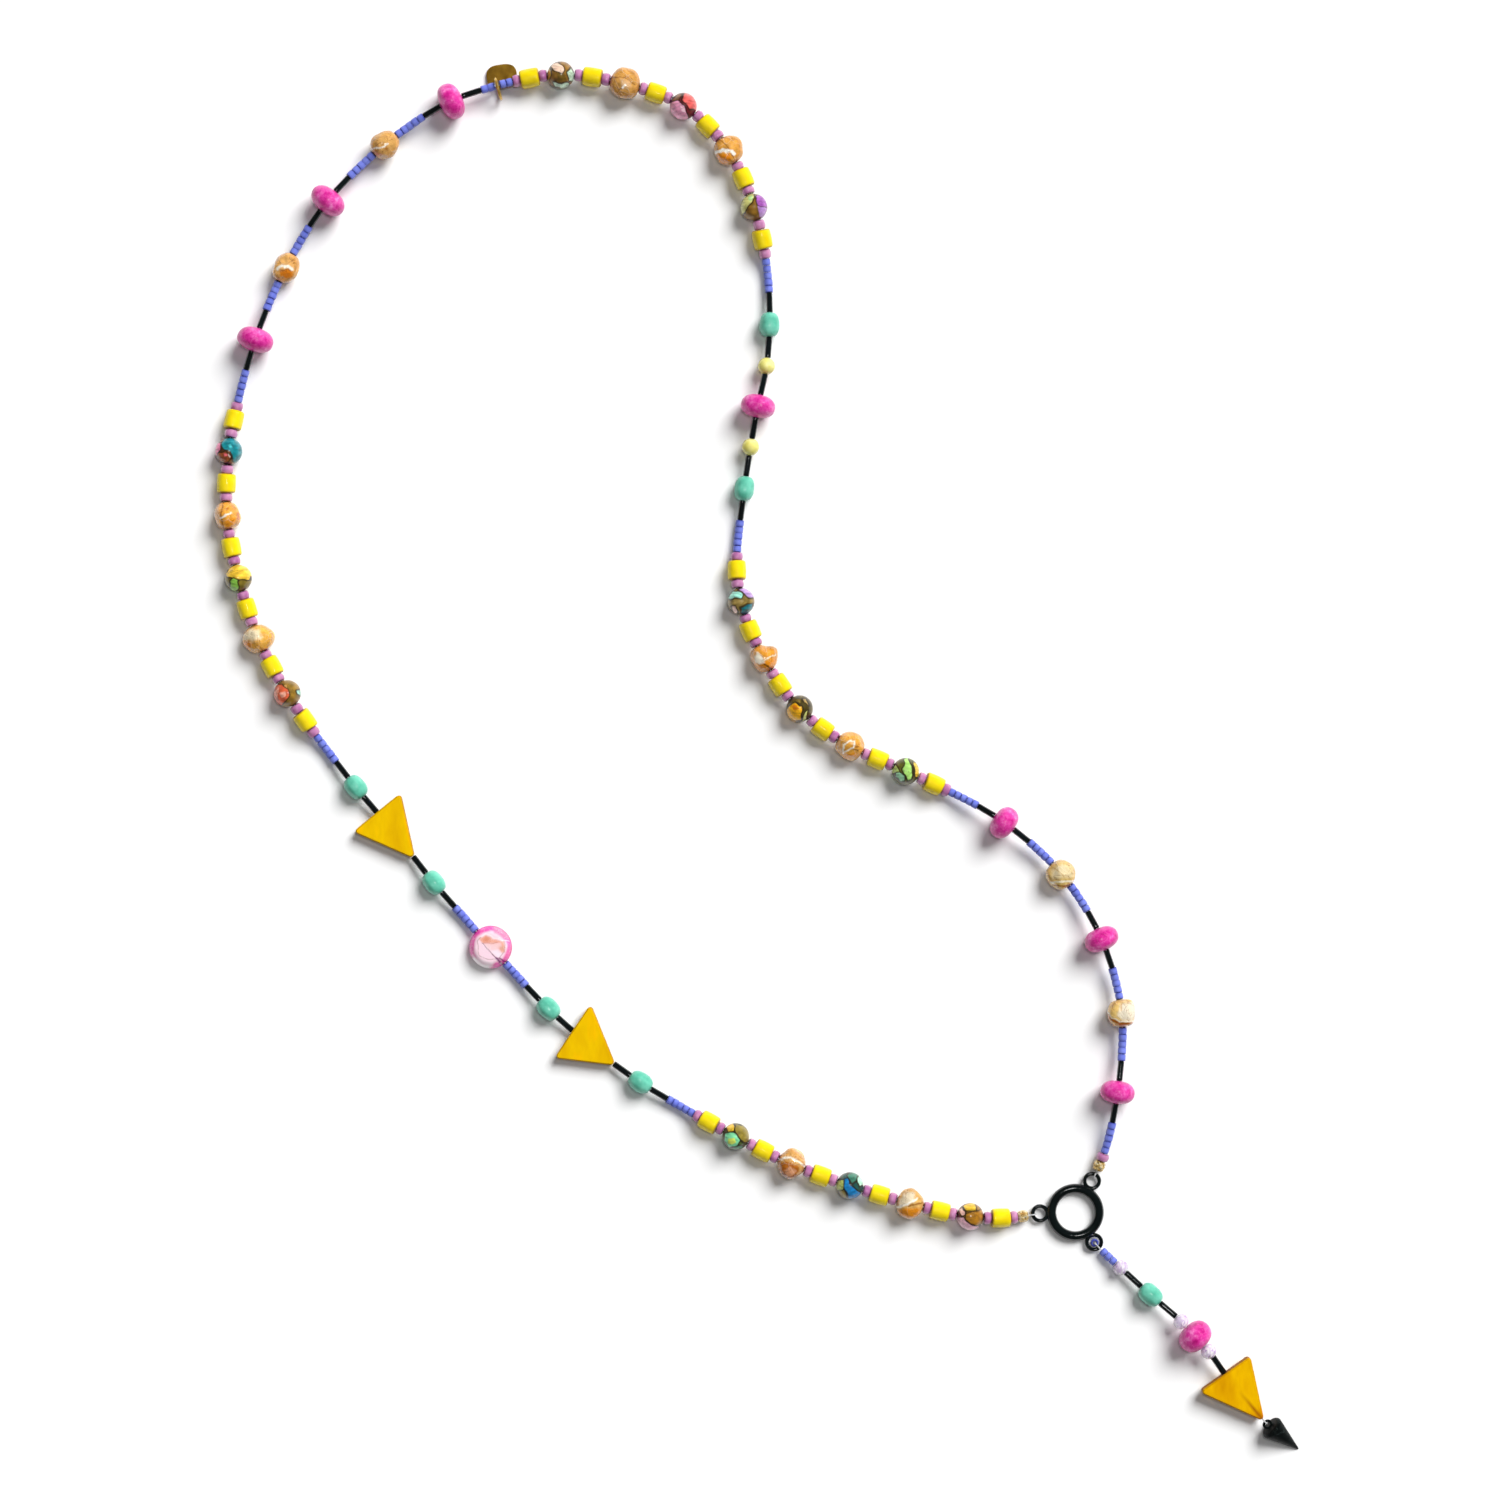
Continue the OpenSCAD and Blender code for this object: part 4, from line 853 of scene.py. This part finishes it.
# a ball cut open at its bore: radius times cos and sin of the turn
ball = strand["mosaicBead"] / 2 * np.stack(
    [np.cos(turn) * np.cos(spin), np.cos(turn) * np.sin(spin), np.sin(turn) + 0 * spin], -1)
for i, at in enumerate(beadPlaces["k"]):
    grid = placed(ball, at)
    addPiece(f"mosaic_ball_{i + 1}", [grid], [f"mosaic_bead_{i + 1}"], shellMosaic,
             paint=paintMosaic(grid.reshape(-1, 3), at[0], i))
print("mosaic beads made")


# amber nuggets: melted glass lumps

nuggets = {"sides": 128, "rings": 84, "across": 0.92, "along": 0.95, "lump": 0.2, "lumpSize": 4.2,
           "fade": 2.2,  # how far out from the bore lumps and corners are full
           "cornerSpread": 24, "cornerSwell": 1.5,
           "most": 1.03,  # most that a nugget may be as wide as its solid
           "warp": 0.16, "fineWarp": 0.05, "bandWarp": 0.06, "cloud": 0.16, "fineCloud": 0.1, "bolder": 1.2,
           "body": (1.0, 0.95, 0.6),  # shares of red, green and blue that the amber glass keeps
           # the rim band is painted shade round the sloping sides, and the edge is painted light on the low
           # edge
           "rim": ("#B8700C", 0.42, 0.17, 0.4),  # the band's colour, height, width and share
           "edge": ("#F0CC88", 0.2, 0.6),  # the edge's colour, the height that it starts under, its share
           "meltMm": 2.2, "meltDepth": 0.8, "crackHeight": 0.4}
# where each nugget bulges or is pinched, seen from above: direction in degrees and millimetres
nuggetCorners = [
    [(84, 0.25), (154, -0.4), (34, -0.15)], [(81, 0.4), (46, 0.2), (128, -0.2), (-55, -0.4), (-164, -0.3)],
    [(20, 0.35), (110, -0.2), (230, -0.15)], [(40, -0.1), (-20, 0.15)], [(60, 0.25), (-120, 0.1)],
    [(150, 0.2), (40, 0.25), (-70, 0.1)], [(70, 0.15)], [(40, 0.25), (190, -0.1)],
    [(33, 0.65), (85, -0.45), (-45, -0.3), (160, 0.1)], [(60, 0.2), (-20, 0.15), (-130, -0.15)],
    [(40, 0.25), (-100, 0.1)], [(62, 0.35), (100, -0.2), (-45, 0.2)]]
# each nugget: body colour, then marks in the glass as they lie seen from above, in millimetres to the
# right and up, as markedPaint takes them; the near-white strokes and small near-white patches are
# painted highlights, glints along ridges in the glass
nuggetMarks = [
    ("#DDB27C", [("#EADFC4", 0, .5, .8, [(-2.8, .9), (-.9, 3.3), (1.1, 3), (.9, .9), (-1.8, -.3),
                                         (-3.3, -.8)]),
                 ("#E58C10", 0, .5, .95, [(-3.1, -1.5), (-.9, -.9), (2.8, -1), (2, -3), (-.5, -3.7),
                                          (-2.5, -2.7)]),
                 ("#8E5212", .16, .15, .9, [(-.4, -.3), (.9, 0), (3, .3)]),
                 ("#FFF7E4", .22, .15, 1, [(-3.3, -.8), (-2, -.3), (.4, .7), (1.7, 1.5)])]),
    ("#E0AE7C", [("#B8640C", 0, .4, .95, [(-3.3, .5), (-.9, 1), (2, -.4), (2, -1.7), (.1, -3.5), (-1.2, -3.7),
                                          (-2.8, -2)]),
                 ("#7A2C04", .25, .3, .8, [(-2.8, -1.7), (-1.2, -3.3), (1.4, -2.7)]),
                 ("#ECA87C", 0, .3, .9, [(-1.8, -1.4), (-.2, -.4), (1.4, -1.6), (-.1, -3), (-1.2, -3)]),
                 ("#FFF4E0", .2, .15, 1, [(-3.1, 1.2), (-1.5, 1.8), (-.2, 2), (1.4, 1.2), (3.7, -.6)])]),
    ("#F2B862", [("#FDEEC8", 0, .7, .9, [(-3.5, .6), (-1.8, 2.5), (.4, 2.2), (1.1, -.1), (-1.2, -.7),
                                         (-3.8, -.4)]),
                 ("#E08404", 0, .5, .95, [(-3.8, -.7), (-2.2, -.6), (-1.2, -1.6), (-2.5, -2.7), (-3.8, -2)]),
                 ("#A86010", .14, .15, .8, [(.1, -1.7), (1.7, -3.3)]),
                 ("#A86010", .1, .1, .8, [(-.6, -2), (.6, -3.4)])]),
    ("#F0AC52", [("#F29A22", 0, .4, .9, [(-.4, -1.4), (2.4, -.7), (2, -3.3), (.1, -3.3)]),
                 ("#9A5610", .12, .1, .9, [(-.7, 3.3), (-.7, 1.2), (-1.2, -.1), (-.7, -3.3)]),
                 ("#B86A18", .35, .3, .8, [(.4, 1.6)]),
                 ("#C05818", .2, .2, .8, [(3, .6), (3.1, -.9)]),
                 ("#FFF6E6", .2, .15, 1, [(-1.2, -.8), (.1, -.1), (1.3, .5)])]),
    ("#E6B27E", [("#DA7A08", 0, .35, .95, [(-1.2, -1.2), (.4, -.6), (2, -1.1), (1.9, -2.2), (.4, -3),
                                           (-.9, -2.4)]),
                 ("#9A4C04", .15, .15, .7, [(-1, -1), (.4, -.6), (1.8, -1)]),
                 ("#FFF6E2", .3, .2, 1, [(-1.8, -.6), (-.6, .2), (1.1, -.1), (1.9, -.7)])]),
    ("#DDAC78", [("#A8651C", .35, .3, .8, [(.7, -1.4)]),
                 ("#C48E58", .1, .12, .7, [(-2.5, 1), (.2, 1.8), (2.4, 1.4)]),
                 ("#FFF4E0", .18, .12, 1, [(-3.6, -1.4), (-1.2, -1.2), (.1, -.9), (.9, -.1)])]),
    ("#D8A266", [("#8E5A2A", .1, .1, .9, [(-4, 1.2), (-1.2, 1.4), (.4, .9), (2.7, -.6)]),
                 ("#EBC49A", 0, .6, .7, [(-1, .6), (1, .2), (1.6, -1), (-.5, -1.8)]),
                 ("#8E5A2A", .12, .12, .9, [(-1.2, -1.7), (-.2, -1.2)]),
                 ("#FFF6E6", .28, .15, 1, [(-.5, -1.4), (.1, -.9)])]),
    ("#DFA45C", [("#EA8A0E", 0, .4, .95, [(-3.3, -1.4), (.4, -1.2), (.9, -2.4), (-.2, -3.7), (-2.8, -3.3)]),
                 ("#8E5212", .12, .1, .8, [(-2.2, 2.5), (-.2, .9), (1.4, -2)]),
                 ("#FFFAEE", .36, .15, 1, [(-3.1, -.7), (-1.2, -.3), (1.1, -.6), (1.6, -1.2)])]),
    ("#E29C40", [("#E28A16", 0, .5, .9, [(.4, -1), (3, 0), (2.6, -2), (.2, -3.4), (-2, -2.6)]),
                 ("#6E5E44", .2, .4, .6, [(.4, 3.3), (3.2, 2.5)]),
                 ("#FCF2DC", 0, .3, 1, [(-2.5, .2), (-1.8, 1.5), (-.2, .2), (.3, -1.1), (-1.2, -1.6),
                                        (-2.2, -1.1)]),
                 ("#4A2A08", .18, .1, .9, [(.1, -1.6), (1.7, -2.7)]),
                 ("#FFF0CC", .14, .12, .9, [(.3, -.6), (1.4, .2), (3, 1)])]),
    ("#E8AA56", [("#EC9410", 0, .4, .9, [(-2.5, -2.7), (1.1, -1.7), (2, -2.7), (-.9, -3.7)]),
                 ("#3A2408", .1, .1, .9, [(.4, -.4), (2, -1.4)]),
                 ("#FFF6E0", .16, .12, 1, [(-1.8, -1.7), (-1.8, .2), (-.2, 1.2), (1.1, 1.2), (.9, -.4),
                                           (-.9, -1.4), (-1.8, -1.9)])]),
    ("#E2C48A", [("#F2E2B8", 0, .8, .8, [(-2.6, 1), (0, 2.8), (2.6, 2), (2.8, -.6), (-2.4, -1)]),
                 ("#9A5A18", .16, .12, .9, [(-2.2, -2.7), (.4, -2.9), (3, -2.5)]),
                 ("#FFF4D4", .22, .12, 1, [(-2.5, -2.2), (-.6, -1.9), (3.7, -1.7)]),
                 ("#C49A58", .1, .12, .8, [(-2.3, 1.6), (-1, 1.3), (.3, -.5)])]),
    ("#E8C892", [("#F1E8D2", 0, .7, .9, [(-.2, 2.5), (3.3, 3.1), (3.7, -.4), (2.4, -2), (.1, -1.7),
                                         (-1.2, -.4)]),
                 ("#B8650C", .3, .15, .95, [(-3.8, -.1), (-2.8, -1.4), (-.6, -2.5), (3, -2.4)]),
                 ("#FFF4DA", .14, .1, 1, [(-3.5, .3), (-2.6, -1), (-.5, -2), (3.1, -1.9)]),
                 ("#C89050", .1, .12, .8, [(-.1, 2.5), (-.2, .9)])]),
]


def paintNugget(points, middle, number):
    # the body with its marks, a band of painted shade by its height above the middle, and painted light on
    # the edge under it
    body, marks = nuggetMarks[number]
    local = points / mm - middle
    warp = twoLumps(local, 1.6, 300 + number)
    fine = twoLumps(local, 0.5, 380 + number)
    xy = local[:, :2] + nuggets["warp"] * warp + nuggets["fineWarp"] * fine
    up = local[:, 2] / (nuggetSizes[number][2] / 2) + nuggets["bandWarp"] * warp[:, 0]
    colour = np.tile(np.array(linear(body)) * np.array([*nuggets["body"], 1]), (len(xy), 1))
    # painted shade: a darker band round the sides by height
    rim, rimAt, rimWidth, rimShare = nuggets["rim"]
    shadeBand = rimShare * np.exp(-((up - rimAt) / rimWidth) ** 2)[:, None]
    colour = colour * (1 - shadeBand) + np.array(linear(rim)) * shadeBand
    cloud = nuggets["cloud"] * lumps(local, 1.8, 460 + number)
    colour[:, :3] *= (1 + cloud + nuggets["fineCloud"] * fine[:, 0])[:, None]
    colour = markedPaint(xy, colour, marks, nuggets["bolder"])
    # painted light: the low edge turns pale where light comes through the glass
    edge, edgeBelow, edgeShare = nuggets["edge"]
    litEdge = edgeShare * smoothStep((edgeBelow - up) / edgeBelow)[:, None]
    colour = colour * (1 - litEdge) + np.array(linear(edge)) * litEdge
    colour[:, 3] = 1
    return np.clip(colour, 0, 1)


# fused glass, fire polished: glowing champagne body with brown and white cracks under a wet gloss
amberGlass, tree, shader, place = startMaterial("fire_polished_amber_glass", {
    "Roughness": 0.12, "IOR": 1.5, "Coat Weight": 1.0, "Coat Roughness": 0.02, "Transmission Weight": 0.08})
painted = addNode(tree, "Attribute", attribute_name="paint").outputs["Color"]
veined = crossings(tree, place, painted, "#8A4408", 4.5, 0.012, 0.7)
crazed, cracks = crazing(tree, place, veined, "#FFF6E2", 3.4, 0.03, 0.3)
# each crack stands a little proud of the melted surface
melted = addNode(tree, "TexNoise", {"Vector": place, "Scale": 1 / (nuggets["meltMm"] * mm), "Detail": 2,
                                    "Roughness": 0.5})
height = addNode(tree, "Math", {0: cracks, 1: nuggets["crackHeight"], 2: melted.outputs["Fac"]},
                 operation="MULTIPLY_ADD")
raised = addNode(tree, "Bump", {"Height": height.outputs[0], "Strength": 0.8,
                                "Distance": nuggets["meltDepth"] * mm})
tree.links.new(crazed, shader.inputs["Base Color"])
tree.links.new(raised.outputs["Normal"], shader.inputs["Normal"])
for i, size in enumerate(nuggetSizes):
    shape = nuggetSurface(size, nuggets["sides"], nuggets["rings"], nuggets["across"], nuggets["along"])
    fade = np.clip((np.hypot(shape[..., 0], shape[..., 1]) - boreRadius) / nuggets["fade"], 0, 1)
    dent = nuggets["lump"] * (lumps(shape, nuggets["lumpSize"], 500 + i) - 1) * fade
    shape[..., :2] *= (1 + dent / (size[1] / 2))[..., None]
    grid = placed(shape, beadPlaces["a"][i])
    # a corner swells the outline by its millimetres times a bell curve of the angle from it
    level = grid[..., :2] / mm - beadPlaces["a"][i][0][:2]
    angle = np.degrees(np.arctan2(level[..., 1], level[..., 0]))
    for direction, swell in nuggetCorners[i]:
        turnAway = np.mod(angle - direction + 180, 360) - 180
        swell *= nuggets["cornerSwell"]
        share = swell * np.exp(-(turnAway / nuggets["cornerSpread"]) ** 2) / (size[1] / 2)
        grid[..., :2] += (level * (share * fade)[..., None]) * mm
    # drawn in across the thread where it would be wider than its solid allows
    left = beadPlaces["a"][i][1][1]
    across = (grid / mm - beadPlaces["a"][i][0]) @ left
    fit = min(1, nuggets["most"] * np.ptp(solidNugget(i)[..., 1]) / np.ptp(across))
    grid += ((fit - 1) * across)[..., None] * left * mm
    addPiece(f"amber_lump_{i + 1}", [grid], [f"amber_nugget_{i + 1}"], amberGlass,
             paint=paintNugget(grid.reshape(-1, 3), beadPlaces["a"][i][0], i))
print("amber nuggets made")


# golden shell plates

plates = {"golden": [(0.28, "#D4A200"), (0.42, "#E0B000"), (0.55, "#E8BC00"), (0.7, "#F6B800")],
          "amber": [(0.3, "#CC8C00"), (0.45, "#DCA200"), (0.6, "#E8B400"), (0.75, "#E2A800")],
          "edge": "#9A6204", "bandMm": 5.5, "streakMm": 0.9, "turn": 0.7}
# the brown vein of the last plate: half its width, where it fades in along the thread, where the tip
# darkens and how much, all from the middle of the plate
veins = {"half": 0.7, "fadesIn": (-2, 4), "tip": (3.5, 8), "tipShare": 0.85, "tipColour": "#C87400",
         "colour": "#9E5A08"}


def shellPlate(name, face):
    # dyed shell, polished: broad satin bands of gold, faint streaks in them, and an amber ground edge
    material, tree, shader, place = startMaterial(name, {"Roughness": 0.5, "Specular IOR Level": 0.06})
    across = addNode(tree, "Mapping", {"Vector": place, "Rotation": (0, 0, plates["turn"]),
                                       "Scale": (1, 0.35, 1)}).outputs[0]
    gold = clouds(tree, across, face, plates["bandMm"])
    streaks = addNode(tree, "TexNoise", {"Vector": across, "Scale": 1 / (plates["streakMm"] * mm),
                                         "Detail": 3, "Roughness": 0.5}).outputs["Fac"]
    fine = addNode(tree, "MapRange", {"Value": streaks, "From Min": 0.35, "From Max": 0.7, "To Max": 0.3})
    gold = addNode(tree, "Mix", {0: fine.outputs[0], 6: gold, 7: linear(face[0][1])}, data_type="RGBA")
    facing = addNode(tree, "NewGeometry").outputs["True Normal"]
    up = addNode(tree, "SeparateXYZ", {0: facing})
    level = addNode(tree, "Math", {0: up.outputs["Z"]}, operation="ABSOLUTE")
    side = addNode(tree, "MapRange", {"Value": level.outputs[0], "From Min": 0.45, "From Max": 0.9,
                                      "To Min": 1.0, "To Max": 0.0})
    gold = addNode(tree, "Mix", {0: side.outputs[0], 6: gold.outputs[2], 7: linear(plates["edge"])},
                   data_type="RGBA")
    raised = addNode(tree, "Bump", {"Height": streaks, "Strength": 0.1, "Distance": 0.1 * mm})
    tree.links.new(raised.outputs["Normal"], shader.inputs["Normal"])
    return material, tree, shader, place, gold.outputs[2]


goldenShell, tree, shader, place, gold = shellPlate("dyed_golden_shell", plates["golden"])
tree.links.new(gold, shader.inputs["Base Color"])
amberShell, tree, shader, place, gold = shellPlate("dyed_amber_shell", plates["amber"])
# a brown vein runs from the middle of the last plate to its point, along the thread
plateAt, plateAxes = beadPlaces["v"][2][:2]
veinTurn = math.atan2(plateAxes[2][1], plateAxes[2][0])
vein = addNode(tree, "Mapping", {"Vector": place, "Location": tuple(plateAt * mm),
                                 "Rotation": (0, 0, veinTurn)}, vector_type="TEXTURE")
vein = addNode(tree, "SeparateXYZ", {0: vein.outputs[0]})
away = addNode(tree, "Math", {0: vein.outputs["Y"]}, operation="ABSOLUTE")
thin = addNode(tree, "MapRange", {"Value": away.outputs[0], "From Max": veins["half"] * mm, "To Min": 1.0,
                                  "To Max": 0.0})
ahead = addNode(tree, "MapRange", {"Value": vein.outputs["X"], "From Min": veins["fadesIn"][0] * mm,
                                   "From Max": veins["fadesIn"][1] * mm})
tip = addNode(tree, "MapRange", {"Value": vein.outputs["X"], "From Min": veins["tip"][0] * mm,
                                 "From Max": veins["tip"][1] * mm, "To Max": veins["tipShare"]})
gold = addNode(tree, "Mix", {0: tip.outputs[0], 6: gold, 7: linear(veins["tipColour"])}, data_type="RGBA")
share = addNode(tree, "Math", {0: thin.outputs[0], 1: ahead.outputs[0]}, operation="MULTIPLY")
gold = addNode(tree, "Mix", {0: share.outputs[0], 6: gold.outputs[2], 7: linear(veins["colour"])},
               data_type="RGBA")
tree.links.new(gold.outputs[2], shader.inputs["Base Color"])
dress(["shell_triangle_1", "shell_triangle_2"], goldenShell)
dress(["shell_triangle_3"], amberShell)


# pink shell disc

disc = {"radius": 5.5, "height": 4, "table": 3.35, "octagon": 0.5, "bevelPower": 2.1, "sides": 240,
        "rings": 66, "body": "#F9D6E4", "rim": "#EE4CAA", "rimFrom": 0.7, "rimWidth": 0.16, "warp": 0.03}
# marks as they lie seen from above, in disc radii to the right and up
discMarks = [
    ("#F04CAC", 0, .16, 1, [(-1.2, .2), (-1, .9), (-.3, 1.2), (-.2, .9), (-.62, .62), (-.78, .2), (-.84, -.35),
                            (-1.1, -.4)]),
    ("#FF80A8", 0, .1, 1, [(.12, 1.1), (.2, .68), (.5, .5), (.78, .36), (1.1, .4), (.8, 1)]),
    ("#F068A4", 0, .14, 1, [(.86, .3), (.8, -.1), (.72, -.5), (.55, -.8), (.9, -.9), (1.2, -.2), (1.1, .4)]),
    ("#F848B4", 0, .12, .95, [(.3, -.72), (.56, -.8), (.7, -1), (.2, -1.1), (.15, -.95)]),
    ("#FFF7FA", 0, .16, .95, [(-.84, -.42), (-.6, -.5), (-.3, -.68), (.1, -.75), (-.05, -1.1), (-.6, -1),
                              (-1, -.62)]),
    ("#F0A890", 0, .06, .95, [(-.5, .42), (-.2, .58), (0, .5), (.15, .38), (.64, .3), (.66, -.2), (.54, -.26),
                              (.34, -.06), (.14, .14), (-.38, .2)]),
    ("#DE8468", 0, .14, .8, [(-.34, .36), (-.2, .52), (-.04, .44), (.02, .3), (-.24, .22)]),
    ("#FACFD2", 0, .07, .9, [(-.3, .18), (.1, .2), (.5, .24), (.5, .04), (.36, -.08), (.46, -.26),
                            (.3, -.36)]),
    ("#D9A08A", 0, .12, .7, [(.42, .02), (.64, .06), (.64, -.18), (.46, -.14)]),
    ("#FBE9F6", 0, .08, .8, [(.06, -.14), (.34, -.1), (.5, -.28), (.4, -.44), (.3, -.42)]),
    ("#FFF4F0", .012, .02, .95, [(-.46, .5), (-.2, .66), (-.06, .62), (.09, .53), (.2, .4), (.33, .42),
                                 (.65, .35), (.86, .28)]),
    ("#C96A5C", .012, .03, .8, [(-.38, .2), (.1, .19), (.34, .24)]),
    ("#8A6A5C", .012, .03, .8, [(-.44, .49), (-.555, .28), (-.555, -.106), (-.475, -.335), (-.3, -.52),
                                 (-.12, -.555), (.19, -.546), (.42, -.45), (.65, -.21), (.67, .21),
                                 (.65, .33)]),
    # painted shadow of the thread along its bore, then painted shade in the bore's openings at the rim, lower
    # right and upper left
    ("#7E5462", .014, .02, .95, [(-.38, .2), (-.08, -.1), (.14, -.34)]),
    ("#6A3050", .024, .02, .95, [(.12, -.31), (.32, -.5)]),
    ("#701060", .05, .05, .95, [(.3, -.48), (.44, -.64), (.58, -.84)]),
    ("#7A0C60", .03, .04, .95, [(.42, -.48), (.6, -.62), (.7, -.68), (.84, -.66)]),
    ("#84107A", .05, .05, .9, [(-.78, .66), (-.68, .78), (-.58, .88)]),
    ("#A84468", .02, .04, .8, [(-.5, .9), (-.2, .985), (.1, .985), (.5, .87), (.8, .6), (.97, .25),
                               (.985, -.1), (.9, -.45)]),
    ("#CF3C98", .02, .05, .7, [(-.8, .6), (-.97, .25), (-.99, 0), (-.95, -.3), (-.85, -.5)]),
]


def discSurface():
    # up from the middle of the underside, out round the rim and back: height falls from the table's
    # edge by the power of the distance from it, and the table is part octagon, part circle
    half = disc["rings"] // 2
    share = np.concatenate([np.linspace(0.004, 0.6, half // 2), np.linspace(0.62, 1, half - half // 2)])
    share = np.concatenate([share, share[-2::-1]])[:, None]
    upper = np.concatenate([-np.ones(half), np.ones(half - 1)])[:, None]
    a = np.radians(np.arange(disc["sides"]) * 360 / disc["sides"])[None, :]
    eighth = math.pi / 8
    octagon = math.cos(eighth) / np.cos(np.mod(a, 2 * eighth) - eighth)
    table = disc["table"] / disc["radius"] * (1 + disc["octagon"] * (octagon - 0.96))
    fall = np.clip((share - table) / (1 - table), 0, 1) ** disc["bevelPower"]
    z = upper * disc["height"] / 2 * (1 - fall)
    r = disc["radius"] * share
    return np.stack([r * np.cos(a), r * np.sin(a), z], -1)


# dyed mother of pearl, polished: milky pink with magenta at the rim, and pale hair lines
pinkShell, tree, shader, place = startMaterial(
    "dyed_pink_mother_of_pearl", {"Roughness": 0.2, "Coat Weight": 0.6, "Coat Roughness": 0.05})
painted = addNode(tree, "Attribute", attribute_name="paint").outputs["Color"]
veined = crossings(tree, place, painted, "#FFFFFF", 2.4, 0.012, 0.35)
finish(tree, shader, veined, place, 1.6, 0.15, 0.1)
shape = discSurface()
local = shape.reshape(-1, 3) / disc["radius"]
xy = local[:, :2] + disc["warp"] * twoLumps(local, 0.5, 600, apart=1)
rimward = smoothStep((np.linalg.norm(xy, axis=1) - disc["rimFrom"]) / disc["rimWidth"])[:, None]
paint = np.array(linear(disc["body"])) * (1 - rimward) + np.array(linear(disc["rim"])) * rimward
paint = markedPaint(xy, paint, discMarks)
addPiece("pink_shell_disc", [(beadPlaces["d"][0][0] + shape) * mm], ["shell_disc"], pinkShell,
         capped=1, paint=paint)
print("shell dressed")


# floor, light and camera

studio = {"floorSize": 6.0, "sun": 4.5, "sunSpread": 36, "sunFrom": (0.58, 0.68, 0.76),
          "reflector": 0.6, "reflectorSpread": 60, "reflectorFrom": (-0.8, -0.9, 0.3),
          "top": 1.9, "topSize": 0.19, "topFrom": (0.1, 0.13, 1.3), "fill": 0.05,
          "cameraHeight": 1.1, "frameWidth": 0.387, "frameLevel": 0.0035}

floorMesh = bpy.data.meshes.new("floor")
half = studio["floorSize"] / 2
corners = [(-half, -half, 0), (half, -half, 0), (half, half, 0), (-half, half, 0)]
floorMesh.from_pydata(corners, [], [(0, 1, 2, 3)])
floor = bpy.data.objects.new("floor", floorMesh)
bpy.context.scene.collection.objects.link(floor)
# matte white card
floorMesh.materials.append(startMaterial("matte_white_card", {
    "Base Color": linear("#FAFAFA"), "Roughness": 0.9, "Specular IOR Level": 0.1})[0])


def addLamp(name, kind, power, at, **settings):
    lamp = bpy.data.lights.new(name, kind)
    lamp.energy = power
    for setting, value in settings.items():
        setattr(lamp, setting, value)
    made = bpy.data.objects.new(name, lamp)
    made.location = at
    made.rotation_euler = (-made.location).to_track_quat("-Z", "Y").to_euler()
    bpy.context.scene.collection.objects.link(made)
    return made


window = addLamp("window", "SUN", studio["sun"], studio["sunFrom"], angle=math.radians(studio["sunSpread"]))
reflector = addLamp("reflector", "SUN", studio["reflector"], studio["reflectorFrom"],
                    angle=math.radians(studio["reflectorSpread"]))
window.visible_glossy = reflector.visible_glossy = False  # the stones mirror the overhead lamp alone
addLamp("overhead", "AREA", studio["top"], studio["topFrom"], shape="DISK", size=studio["topSize"])
world = bpy.data.worlds.new("studio")
bpy.context.scene.world = world
world.use_nodes = True
world.node_tree.nodes["Background"].inputs[0].default_value = (1, 1, 1, 1)
world.node_tree.nodes["Background"].inputs[1].default_value = studio["fill"]
camera = bpy.data.cameras.new("camera")
camera.sensor_width = 36
camera.lens = 36 * (studio["cameraHeight"] - studio["frameLevel"]) / studio["frameWidth"]
camera.clip_start = 0.01
cameraObject = bpy.data.objects.new("camera", camera)
cameraObject.location = (0, 0, studio["cameraHeight"])
bpy.context.scene.collection.objects.link(cameraObject)
bpy.context.scene.camera = cameraObject
bpy.context.scene.view_settings.view_transform = "Standard"
print("studio set")
